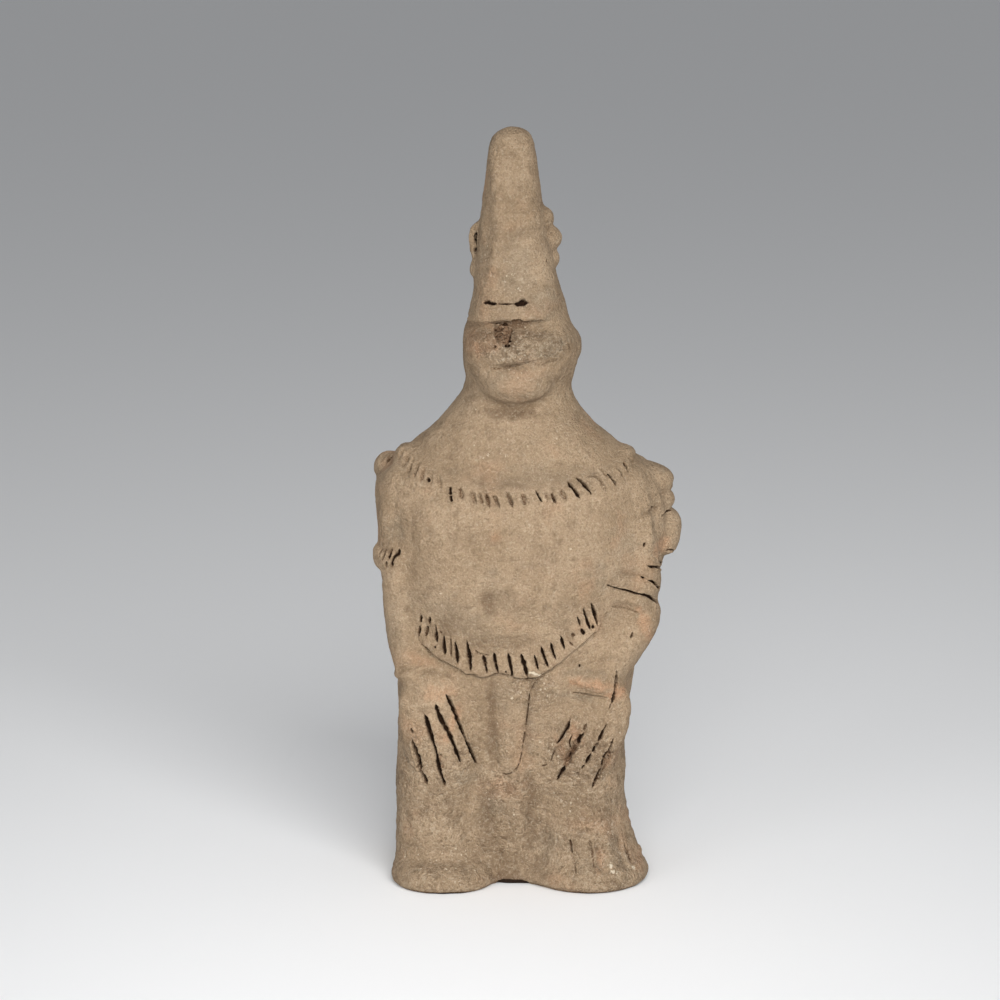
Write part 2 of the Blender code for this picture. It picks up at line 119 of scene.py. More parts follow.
# The right leg's radii at its foot.
FLARE_HEIGHTS = (-8, 0, 6, 14)
FLARES = {FRONT: (29.5, 29.5, 28.7, 26), BACK: (28, 27, 24.5, 22.8)}
FEET = {
    FRONT: (((-35.3, 21, 1.5), (26, 28.5, 13), 0, 2.3), ((32, 20, 3.5), (29.3, 29.5, 14.5))),
    BACK: (((-32.5, 19, -3), (24, 25, 19), 0, 2.2), ((27.5, 17, -4.5), (25, 27, 19), 0, 2.1)),
}
# The back figure's arms are a little wider, so that both pairs show from the side.
ARMS = {
    FRONT: (
        ((-52.5, 12, 186, 12), (-55, 16, 168, 11), (-54, 19.5, 143, 10), (-52, 21, 121, 10.5),
         (-48, 26, 104, 10.5), (-42, 27, 90, 10.5)),
        ((48.5, 12, 185, 12), (51.5, 16, 167, 11), (54, 18.5, 144, 11.5), (53.2, 19.5, 133.5, 10.4),
         (53.8, 20.5, 125, 11.2), (43.5, 26, 108, 11), (34, 28, 94, 11)),
        ((54, 7, 188, 8), (58, 9, 178, 8.5), (59.5, 9, 166, 8.5), (58.5, 8, 156, 7.5)),
    ),
    BACK: (
        ((-53, 12, 186, 12.5), (-56, 17, 166, 11), (-54, 20, 140, 10), (-51, 21.5, 118, 10),
         (-45, 26, 101, 10.5), (-37, 27, 88, 10.5)),
        ((52, 12, 184, 12.5), (54, 17, 166, 11), (53, 20, 140, 10.5), (50, 21.5, 118, 10),
         (43, 26, 101, 10.5), (35, 27, 88, 10.5)),
    ),
}
HANDS = {
    FRONT: (((-37.5, 29.5, 72), (18, 9, 34), -14), ((30, 30, 70), (18.5, 9, 34), 24)),
    BACK: (((-33, 29.5, 69), (17.5, 9, 32), -16), ((32, 29.5, 69), (17.5, 9, 32), 16)),
}
# A brow over a hollow, the blocky muzzle with its upper lip, and a bowl-shaped lower lip and chin.
FACE = (
    ((-3, 11.5, 269.5), (18, 12.5, 6), 0, 2.6), ((0.8, 8.5, 253), (25.5, 18.5, 8.5), 0, 2.9),
    ((-1.5, 10, 248.5), (20, 19.5, 5), 0, 2.3), ((-0.5, 8.5, 240), (22.5, 19, 6.5), 0, 2.4),
    ((-1.5, 9.5, 235), (18.5, 19.8, 11.8), 0, 2.3),
)
# How far each face is moved sideways.
LEAN = {FRONT: 0.0, BACK: -1.0}
# The loin cloths: a narrow tongue that hangs from each belt.
FLAPS = {
    FRONT: ((-3.5, 31.5, 100, 9.5), (-4.5, 31.5, 80, 9), (-5.5, 31.5, 60, 7)),
    BACK: ((2, 31, 100, 9), (2, 31, 80, 8.5), (2, 31, 60, 7)),
}
FLAP_FLAT = 0.45
# The left ear's rim, shared by the two faces like the pinched pellets; depths from here on are Y.
EAR_RIM = (
    (-18.5, -1, 306, 1.7), (-21, -1.6, 304, 1.9), (-22, -2, 301, 1.8),
    (-22, -2, 296.5, 1.8), (-20.5, -1.4, 292, 2.1), (-18.5, -1, 290.5, 1.9),
)
PRESSED_ON = (
    # Pellets down both sides of the head.
    ((-20, -0.8, 285.5), (3, 4.5, 4.5)), ((10, -1, 308.5), (5.5, 6, 5.5)),
    ((13, -0.5, 299), (6.5, 6, 6)), ((14, 0, 289.5), (5, 5.5, 5.5)),
    ((20.5, 1, 249.5), (8, 13, 9), 0, 2.3),
    # Lumps of the back figure's shoulders, armlet and foot, which show past the front ones.
    ((-60, 6.5, 190.5), (8.5, 10, 8)), ((58.5, 1.5, 187.5), (13.5, 11, 7), 14, 2.5),
    ((58.5, 1.5, 177), (13.5, 11.5, 6), 2, 2.4), ((62, 1.5, 162), (13.5, 11, 11.5), 4, 3.1),
    ((56.5, 1, 150), (11, 12, 9), 0, 2.5), ((-52, -5, 197), (7, 11, 7)),
    ((46.5, -4, 197.5), (7.5, 11, 6.5)), ((46.8, 13, 20), (6.5, 8, 8)),
)
# The armband: its middle, radius, width, how proud it is, and its tilts about X and Y in degrees.
ARMBAND = ((-56.5, -18, 155), 10, 10.5, 1.9, 8, -8)

ROPE_SIDES = 20
PELLET_RINGS = 12
HOOP_RINGS, HOOP_SIDES = 36, 12
DEPTH_AXIS = np.array((0.0, 1.0, 0.0))
# How far past its last point a limb's end reaches, and how thin it is there, as shares of its radius.
ROUND_END = ((0.5, 0.84), (0.84, 0.5), (0.97, 0.2))


def smoothstep(low, high, value):
    """0 up to low, 1 from high on, and an even S between them; low may be the larger."""
    t = np.clip((np.asarray(value, float) - low) / (high - low), 0.0, 1.0)
    return t * t * (3.0 - 2.0 * t)


def swell(away):
    """1 in the middle, fading softly to 0 at a distance of about two."""
    return np.exp(-(away**2))


def squared_off(wave, power):
    """A sine or cosine raised to a power with its sign kept, which makes a round form blockier."""
    return np.sign(wave) * abs(wave) ** power


def turns(count):
    return np.linspace(0.0, math.tau, count, endpoint=False)


def smooth_path(points, steps=6):
    """Places along a smooth curve through the given ones; further columns, such as a radius, follow."""
    rows = np.array(points, float)
    ends = np.vstack([rows[:1], rows, rows[-1:]])
    t = np.linspace(0.0, 1.0, steps, endpoint=False)[:, None]
    runs = []
    for before, start, end, after in zip(ends, ends[1:], ends[2:], ends[3:]):
        bend = 2.0 * before - 5.0 * start + 4.0 * end - after
        twist = 3.0 * start - before - 3.0 * end + after
        runs.append(0.5 * (2.0 * start + (end - before) * t + bend * t**2 + twist * t**3))
    return np.vstack(runs + [rows[-1:]])


CORE_CURVE = smooth_path(CORE, 12)
BELT_CURVE = smooth_path(BELT_EDGE, 4)


def belt_edge(x, facing):
    """Height of the belt's lower edge at x."""
    if facing == FRONT:
        return np.interp(x, BELT_CURVE[:, 0], BELT_CURVE[:, 1])
    return BACK_BELT_LOW + BACK_BELT_RISE * (np.asarray(x) / BACK_BELT_HALF) ** 2


def collar_line(x):
    """Height of the middle of the collar at x."""
    return COLLAR_LOW + COLLAR_RISE * (np.asarray(x) / COLLAR_HALF) ** 2


def belly(x, z, facing):
    """How far the belly stands out of the core at a place."""
    edge = belt_edge(x, facing)
    below = smoothstep(edge + BELLY_SPAN[0], edge + BELLY_SPAN[1], z)
    above = smoothstep(BELLY_TOP, BELLY_FULL, z)
    offset = x - BELLY_MIDDLE
    half = np.where(offset < 0.0, *BELLY_HALF)
    return BELLY_PROUD * below * above * smoothstep(1.12, 0.55, abs(offset) / half)


def rotation_about(axis, degrees):
    return np.array(Matrix.Rotation(math.radians(degrees), 3, axis))


class Pile:
    """Lumps of clay that overlap, each a closed skin, gathered before they are fused into one."""

    def __init__(self):
        self.points = []
        self.faces = []

    def join(self, rings, closed=False):
        """Adds rings with the same number of points each, closed into a hoop or capped at both ends."""
        base = len(self.points)
        count = len(rings[0])
        self.points.extend(tuple(point) for ring in rings for point in ring)
        for place in range(len(rings) if closed else len(rings) - 1):
            low, high = base + place * count, base + (place + 1) % len(rings) * count
            for side in range(count):
                after = (side + 1) % count
                self.faces.append((low + side, low + after, high + after, high + side))
        if not closed:
            self.faces.append(tuple(range(base + count - 1, base - 1, -1)))
            self.faces.append(tuple(range(len(self.points) - count, len(self.points))))

    def limb(self, places, facing=BACK, flat=1.0):
        """A rope of clay with round ends, flat times as thick from front to back as it is wide."""
        rows = smooth_path(places) * (1.0, facing, 1.0, 1.0)
        path, radii = rows[:, :3], rows[:, 3]
        ends = []
        for tip, inner, radius in ((path[0], path[1], radii[0]), (path[-1], path[-2], radii[-1])):
            outward = (tip - inner) / np.linalg.norm(tip - inner)
            ends.append([tip + outward * radius * reach for reach, _ in ROUND_END])
        thin = np.array([share for _, share in ROUND_END])
        path = np.vstack([ends[0][::-1], path, ends[1]])
        radii = np.concatenate([radii[0] * thin[::-1], radii, radii[-1] * thin])
        along = np.gradient(path, axis=0)
        along /= np.linalg.norm(along, axis=1, keepdims=True)
        deep = DEPTH_AXIS - (along @ DEPTH_AXIS)[:, None] * along
        deep /= np.linalg.norm(deep, axis=1, keepdims=True)
        wide = np.cross(along, deep)
        angles = turns(ROPE_SIDES)[None, :, None]
        ring = wide[:, None] * np.cos(angles) + deep[:, None] * np.sin(angles) * flat
        self.join(path[:, None] + radii[:, None, None] * ring)

    def pellet(self, centre, radii, tilt=0.0, square=2.0, facing=BACK):
        """A pressed-on lump; 2 is round, and a larger square is blockier."""
        rotation = rotation_about("Y", tilt)
        power = 2.0 / square
        angles = turns(ROPE_SIDES)
        wide, deep = squared_off(np.cos(angles), power), squared_off(np.sin(angles), power)
        rings = []
        for rise in np.linspace(-1.5, 1.5, PELLET_RINGS):
            reach = math.cos(rise) ** power
            tall = np.full(ROPE_SIDES, squared_off(math.sin(rise), power))
            ring = np.stack([wide * reach, deep * reach, tall], axis=1) * radii
            rings.append(ring @ rotation.T + np.array(centre) * (1.0, facing, 1.0))
        self.join(rings)

    def hoop(self, centre, radius, width, proud, tilt_x, tilt_y):
        """A flat band round an arm."""
        rotation = rotation_about("Y", tilt_y) @ rotation_about("X", tilt_x)
        sides = turns(HOOP_SIDES)[:, None]
        rings = []
        for angle in turns(HOOP_RINGS):
            outward = np.array((math.cos(angle), math.sin(angle), 0.0))
            ring = outward * (radius + proud * np.cos(sides)) + (0.0, 0.0, width / 2.0) * np.sin(sides)
            rings.append(ring @ rotation.T + centre)
        self.join(rings, closed=True)


def add_core(pile):
    """The trunk, thighs and tall head, with the belly pushed out on both sides."""
    angles = turns(CORE_SIDES)
    wide, deep = np.cos(angles), np.sin(angles)
    rings = []
    for z in np.linspace(CORE[0][0], HEIGHT, CORE_RINGS):
        left, right, front, back, squareness = (
            np.interp(z, CORE_CURVE[:, 0], CORE_CURVE[:, column]) for column in range(1, 6)
        )
        power = 2.0 / squareness
        x = (left + right) / 2.0 + (right - left) / 2.0 * squared_off(wide, power)
        y = np.where(deep > 0.0, back, front) * squared_off(deep, power)
        for facing in (FRONT, BACK):
            side = deep * facing > 0.001
            y[side] += facing * (belly(x, z, facing) * smoothstep(0.0, 0.35, abs(deep)))[side]
        rings.append(np.stack([x, y, np.full(CORE_SIDES, z)], axis=1))
    pile.join(rings)


def add_forms(pile, facing, limbs, lumps):
    for places in limbs:
        pile.limb(places, facing)
    for lump in lumps:
        pile.pellet(*lump, facing=facing)


def soft_body():
    """The legs and feet, trunk, arms and faces of both figures, before anything is pressed on."""
    pile = Pile()
    add_core(pile)
    for facing in (FRONT, BACK):
        left, right, ridge = LEGS
        flare = [(30, 16, z, radius) for z, radius in zip(FLARE_HEIGHTS, FLARES[facing])]
        add_forms(pile, facing, (left, (*flare, *right), ridge), FEET[facing])
    for facing in (FRONT, BACK):
        add_forms(pile, facing, ARMS[facing], HANDS[facing])
    for facing in (FRONT, BACK):
        face = [((x + LEAN[facing], out, z), *rest) for (x, out, z), *rest in FACE]
        add_forms(pile, facing, (), face)
    return pile


def pressed_on():
    """The loin cloths, ears, shoulder lumps and armband."""
    pile = Pile()
    for facing in (FRONT, BACK):
        pile.limb(FLAPS[facing], facing, FLAP_FLAT)
    add_forms(pile, BACK, (EAR_RIM,), PRESSED_ON)
    pile.hoop(*ARMBAND)
    return pile


# ---- Marks cut, pressed and broken into the surface ---------------------------------------------

# A knife cut is its (x, z) places, its width, its depth and how broken it is: 0 is one clean cut
# and 1 is a row of dashes. A further value is how much soil it holds, which otherwise follows its
# depth. A place's third value is the share of the width that the cut has there.
BELT_CUTS = (
    (((-45.5, 129, 1.2), (-46, 125.5, 1.2)), 1.5, 2.4, 0),
    (((-46, 124.5, 0.9), (-46.5, 121.5, 0.9), (-47, 118.5, 1)), 1.4, 2, 0.3, 0.8),
    (((-41.5, 129, 0.8), (-42, 125.5, 1.2)), 1.5, 2.4, 0),
    (((-42.5, 124.5), (-43, 122), (-43.5, 119)), 1.4, 1.8, 0.2, 0.65),
    (((-39, 126, 0.9), (-38.5, 122.5, 0.9), (-38.5, 120, 1.7), (-38, 117, 0.8)), 1.1, 2.4, 0.1),
    (((-36.5, 122.5), (-36.5, 121.5)), 1, 1.6, 0, 0.6),
    (((-35, 121, 0.6), (-35, 117, 1.3), (-34.5, 111.5, 1)), 1.1, 2.7, 0.05),
    (((-32, 120), (-31.5, 110.5)), 0.8, 1.5, 0.3, 0.5),
    (((-30, 118, 0.7), (-29, 113, 1.4), (-28.5, 107.5, 0.9)), 1.1, 2.7, 0.05),
    (((-24.5, 119, 0.6), (-23.5, 113.5, 1.2), (-23, 108.5, 1.4), (-22.5, 104.5, 0.9)), 1.2, 3, 0.05),
    (((-21, 115), (-18.5, 112.5), (-15.5, 112), (-13.5, 112)), 0.9, 1.2, 0.2, 0.42),
    (((-17, 112.5, 1), (-16.5, 110, 1.4), (-15.5, 106, 0.8), (-15, 103.5, 1.1)), 1.2, 2.2, 0.5, 0.75),
    (((-12, 114, 0.7), (-11.5, 109.5, 1.3), (-10, 104, 0.9)), 1, 2.8, 0),
    (((-5.5, 113, 0.6), (-4.5, 108.5, 1.4), (-3.5, 102.5, 0.9)), 1, 2.8, 0),
    (((0.5, 113, 0.6), (1.5, 109, 1.3), (2.5, 105.5, 1.2), (3.5, 101.5, 0.8)), 1.4, 3, 0),
    (((6.5, 112.5, 0.8), (7.5, 108.5, 1.2), (8.5, 105, 0.9)), 0.9, 2.6, 0),
    (((9.5, 117, 0.6), (11, 111.5, 1.2), (13, 106.5, 1.1)), 1, 2.8, 0),
    (((14, 118.5, 1.3), (15, 114, 0.9), (16.5, 110, 0.8)), 1, 2.7, 0),
    (((18.5, 122, 0.7), (19.5, 118, 1.2), (20.5, 114.5, 0.8)), 0.9, 2.5, 0.1),
    (((24, 122.5), (24.5, 120.5)), 1.6, 1.2, 0, 0.42), (((22.5, 118.5), (24.5, 116.5)), 1, 1.2, 0.2, 0.42),
    (((26, 130.5, 0.7), (27, 128, 1), (27.5, 125.5, 0.8)), 0.9, 2, 0),
    (((28, 124.5, 0.9), (29.5, 121.5, 1.2)), 1.1, 2.2, 0),
    (((29, 134, 1.1), (30, 130.5, 0.7), (31, 127, 1.1), (32.5, 123.5, 0.8)), 1, 2.7, 0.05),
    (((32.5, 136.5, 0.8), (34, 131.5, 1.1), (36, 125.5, 1.2)), 1.2, 3, 0),
)
COLLAR_CUTS = (
    (((-54, 203), (-56.5, 198.5)), 2, 1.6, 0, 0.1), (((-51.5, 201.5), (-54, 195.5)), 2, 1.8, 0, 0.2),
    (((-49, 200), (-51.5, 193.5)), 1.9, 1.8, 0, 0.2), (((-46.5, 198.5), (-48.5, 192)), 1.8, 1.8, 0, 0.2),
    (((-44, 197), (-45.5, 190.5)), 1.7, 1.6, 0, 0.2), (((-40.5, 195.5), (-41, 189.5)), 1.5, 1.2, 0, 0.1),
    (((-37.5, 194), (-36.5, 188)), 1.7, 1.4, 0.1, 0.1),
    (((-32, 190.5), (-32, 186.5), (-31, 182.5)), 1.3, 2.2, 0.9, 0.85),
    (((-27.5, 190), (-26.5, 184)), 1.8, 1.6, 0.2, 0.4), (((-22.5, 188.5), (-20, 182)), 1.9, 1.7, 0.1, 0.25),
    (((-19, 188), (-17, 181.5)), 1.7, 1.7, 0.1, 0.25), (((-15.5, 187.5), (-14, 181)), 1.6, 1.7, 0.1, 0.4),
    (((-12.5, 187), (-10.5, 183.5), (-9, 180.5)), 1.4, 1.8, 0.1, 0.35),
    (((-6.5, 188), (-4.5, 184.5), (-3.5, 181)), 1.5, 2, 0.1, 0.36),
    (((1, 187.5), (2.5, 181.5)), 1.8, 1.6, 0.2, 0.35),
    (((7, 188.5), (8.5, 186), (10, 183.5)), 1.1, 2, 0.5, 0.9), (((11.5, 188), (13, 184)), 1.5, 1.6, 0, 0.2),
    (((14, 188), (16.5, 182.5)), 1.2, 1.8, 0.3, 0.45), (((18.5, 189), (21.5, 184)), 1.7, 1.7, 0, 0.2),
    (((21.5, 192), (25, 188), (27.5, 184.5)), 1.3, 2.8, 0.05),
    (((25.5, 193.5), (29.5, 190.5), (32.5, 186.5)), 1.3, 3, 0),
    (((30.5, 193.5), (34, 193.5), (36.5, 192), (38, 189), (40, 186.5)), 1.3, 1.5, 0.1, 0.2),
    (((36, 196.5), (38, 195.5), (40, 192.5)), 1.4, 1.5, 0, 0.2),
    (((40, 194.5), (42, 192), (44, 188.5)), 1.5, 2.8, 0, 1.1),
    (((44.5, 196), (46.5, 194), (47.5, 191.5)), 1.1, 2.2, 0, 1),
    (((47.5, 198), (48.5, 196.5), (50, 193.5)), 1.4, 2.6, 0, 1.1),
    (((49.5, 200), (53, 196)), 1.4, 1.5, 0, 0.1),
)
FINGER_CUTS = (
    (((-50.5, 76.5, 1), (-49.5, 74, 1.3)), 1.2, 2.2, 0),
    (((-50, 71, 0.6), (-48, 64.5, 1.1), (-46.5, 59.5, 1.3), (-45.5, 55, 0.9), (-43, 49, 1)), 2, 3.6, 0),
    (((-44, 83.5, 1), (-42, 77, 1.5), (-40, 70.5, 0.8), (-38.5, 65, 0.5), (-38, 59.5, 1.3), (-36, 53, 0.8),
     (-34.5, 48.5, 1.1)), 1.5, 3.4, 0.15),
    (((-39, 88.5, 0.6), (-36.5, 81.5, 1.3), (-33, 75, 1.1), (-30, 67.5, 0.9), (-27, 59, 0.6)), 1.5, 3.4, 0),
    (((-34.5, 93, 0.7), (-32, 88.5, 1.1), (-28.5, 80, 1.2), (-25.5, 72, 0.8), (-24, 67.5, 1.5),
     (-22, 63.5, 1.2), (-20, 58.5, 0.5)), 1.3, 3.4, 0.15),
    (((23.5, 81.5, 0.7), (22, 77.5, 1), (20, 74, 1.1), (18.5, 71.5, 0.8), (17, 69, 1)), 1.2, 2.8, 0.05),
    (((17, 68, 1), (15.5, 64.5, 0.9), (14, 59.5, 0.7)), 0.9, 1.4, 0.5, 0.42),
    (((24.5, 74), (23, 71), (23.5, 67.5)), 0.7, 1.4, 0.1, 0.7),
    (((31, 79.5, 0.7), (30, 77.5, 0.9), (29.5, 75.5, 0.9)), 1.1, 1.8, 0.2, 0.5),
    (((29.5, 75, 0.9), (27.5, 71.5, 1.3), (26.5, 69, 0.9)), 1.4, 2.8, 0, 1.1),
    (((26.5, 69), (24, 64.5), (21.5, 60)), 2.2, 1.6, 0.3, 0.42),
    (((24, 65.5), (22.5, 62)), 1, 1.9, 0.2, 0.8),
    (((21, 59, 0.9), (19.5, 56, 1.2), (17, 51.5, 0.7)), 1.3, 2.8, 0),
    (((40, 78.5, 0.7), (38.5, 75.5, 0.8), (37, 72, 1.2), (36, 70.5, 0.8)), 1.1, 2.4, 0),
    (((36, 70), (35, 68.5)), 0.8, 1.8, 0, 0.5), (((35, 68.5, 1.2), (33.5, 65.5, 1)), 1, 2.4, 0),
    (((33, 65, 1), (32, 63, 1.2), (30.5, 60, 1.1)), 1.1, 2.4, 0),
    (((30, 59.5, 1), (28.5, 57.5, 0.8)), 1, 1.6, 0.2, 0.8), (((27, 56), (26.5, 54.5)), 1.6, 1, 0, 0.4),
    (((43.5, 71.5, 0.5), (42, 67.5, 0.9), (40, 63.5, 1.2), (39, 61, 1), (38, 58, 1)), 1.6, 3, 0),
    (((38, 57.5, 0.8), (37, 55, 1.2), (36, 52, 1.2), (33.5, 47.5, 0.6)), 1.7, 2.4, 0.2, 0.7),
    (((10, 57.5, 1.2), (12.5, 58.5, 0.8)), 1, 1.4, 0, 0.6),
)
ARM_CUTS = (
    (((-63.5, 159), (-64.5, 157), (-65.5, 154.5)), 1.2, 1.8, 0, 0.6),
    (((-61.5, 159.5, 0.8), (-62.5, 156.5, 1), (-64, 153, 0.8)), 1.2, 2.2, 0, 0.85),
    (((-59, 160, 0.9), (-59.5, 158, 0.9), (-60.5, 154.5, 1.3)), 1.2, 2.4, 0, 0.9),
    (((-61.5, 153.5, 0.8), (-62, 150, 1)), 1.1, 1.8, 0, 0.6),
    (((-55.5, 160, 1.3), (-56, 157.5, 1.3), (-57.5, 156, 0.9), (-58.5, 154, 0.8), (-59, 150.5, 0.8)),
     1.2, 2.6, 0.1, 0.9),
    (((58.5, 151.5, 0.6), (60.5, 150.5, 1), (63, 150, 1.1), (66.5, 147, 1.2)), 0.9, 2.2, 0),
    (((55.5, 146.5), (57.5, 145.5)), 0.9, 1.8, 0.2, 0.8),
    (((59, 144.5, 0.7), (61, 143.5, 1), (64, 140, 1.2), (67, 137.5, 1.2)), 0.9, 2, 0),
    (((39, 144.5, 0.5), (43.5, 142.5, 0.7), (47, 141, 0.9), (52.5, 139, 0.9), (58.5, 137.5, 1.1),
     (62, 134.5, 1.5), (64.5, 132, 1.2)), 0.8, 2.2, 0.1),
    (((42, 133.5), (46.5, 132.5), (50.5, 131.5), (55.5, 129.5)), 0.8, 0.8, 0.2, 0.25),
    (((66, 171.5), (68.5, 172.5), (71, 172)), 1, 1.8, 0.1, 0.8),
    (((67, 154), (70, 154), (72.5, 153)), 1, 1.6, 0.2, 0.7), (((57.5, 162), (57, 160)), 1, 1.2, 0, 0.6),
    (((61, 177.5), (61.5, 175)), 0.9, 1, 0, 0.4),
    (((-62, 194.5), (-61, 196), (-59, 197.5)), 1.8, 1.6, 0.2, 0.42),
    (((52, 121.5, 0.7), (51, 118.5, 1.2)), 0.8, 1.6, 0),
    (((44.5, 105, 0.5), (44.5, 98, 1), (44, 94, 1.2), (42.5, 88.5, 0.7)), 1.5, 3.2, 0),
    (((42, 88.5, 1), (41, 85.5, 0.6)), 0.8, 1.6, 0.2),
    (((23, 93.5, 0.6), (29.5, 93, 1), (36.5, 92, 1), (41, 91, 0.6)), 0.6, 1.2, 0.2),
)
FACE_CUTS = (
    (((-17, 272, 0.9), (-15, 272.5, 1.1), (-13.5, 272, 0.9), (-11, 272, 1.1)), 1.8, 3, 0, 1.2),
    (((-10.5, 272), (-8.5, 272), (-5, 272), (-2.5, 272)), 0.8, 1.5, 0.6, 0.6),
    (((-3, 272, 0.8), (-0.5, 272, 1.1), (1, 272.5, 1.3), (4, 272.5, 1)), 2, 3.2, 0, 1.3),
    (((-12.5, 262, 0.6), (-9.5, 263, 0.8), (-7, 263.5, 1.2), (-3.5, 264, 1.6), (0, 264, 1.4),
     (3.5, 263.5, 0.8)), 1.5, 1.2, 0.5, 0.42),
    (((-4.5, 258), (-5, 255.5), (-6.5, 253)), 1, 1.4, 0, 0.38),
    (((3, 264), (7, 264.5), (11.5, 264)), 0.8, 0.7, 0.4, 0.3),
    (((-10, 261.5), (-8.5, 262), (-5, 262)), 1.3, 1.2, 0.2, 0.6),
    (((-4, 260.5), (-4, 258.5)), 1.1, 1.2, 0.2, 0.42), (((-4, 258), (-4.5, 257)), 1.2, 1.8, 0, 0.9),
    (((-4.5, 256), (-5, 255)), 1.7, 2.2, 0, 1.1), (((-5, 253.5), (-5.5, 253)), 1.2, 1.8, 0, 0.8),
    (((-6.5, 253.5), (-6.5, 252.5)), 1.3, 1.8, 0, 0.9), (((-11.5, 260), (-11, 259)), 1.2, 1.4, 0, 0.6),
    (((-11.5, 257.5), (-11, 256.5)), 1.3, 1.4, 0, 0.5), (((-10, 257), (-8.5, 257)), 1.1, 1.4, 0, 0.6),
    (((-9, 260), (-8, 259.5)), 1.1, 1.4, 0, 0.6), (((-7.5, 258), (-7, 257.5)), 1, 1.2, 0, 0.5),
    (((-11.5, 253.5), (-11.5, 252)), 1.1, 1, 0, 0.42),
    (((-14, 242.5), (-9.5, 242.5), (-5.5, 243.5), (-2.5, 244), (2, 244.5)), 0.8, 0.8, 0.4, 0.26),
    (((22, 254), (23.5, 249.5)), 0.8, 0.9, 0), (((-20, 302), (-20, 296.5)), 1.5, 3.4, 0),
    (((-20, 295.5), (-20.5, 293), (-20.5, 290.5)), 1.6, 3.2, 0),
)
CRACKS = (
    (((4.5, 93.5), (4, 88), (3, 79), (1.5, 68), (0, 59.5), (-3, 55), (-6.5, 53.5), (-11, 54.5)),
     0.6, 1.5, 0.8, 0.45),
    (((11.5, 102), (7.5, 99), (4.5, 93.5)), 0.8, 1, 0.3, 0.24),
    (((23, 24, 0.6), (23.5, 21, 1.2), (24.5, 17, 0.8)), 1.4, 1.8, 0, 0.4),
    (((24.5, 16.5, 0.8), (25.5, 12.5, 0.8), (26, 9, 0.6)), 1, 1, 0.4, 0.26),
    (((32.5, 24.5), (33, 21.5), (34, 17), (34.5, 11.5)), 1.2, 0.9, 0.6, 0.28),
    (((48.5, 21, 0.6), (50, 16.5, 1), (52.5, 11, 0.8)), 1, 1.6, 0.6, 0.8),
    (((49.5, 18), (51, 14.5), (52.5, 10)), 2.4, 0.9, 0.2, 0.37),
)
# Small round holes: x, z, width, depth.
HOLES = (
    (-42, 192, 1.6, 2.2), (32.5, 186.5, 0.9, 1.2), (33.5, 125, 1, 1.4), (-39, 115, 1, 1.4),
    (12, 290.5, 0.7, 0.8), (27.5, 106, 0.7, 1), (-6.5, 104.5, 0.8, 0.9),
)
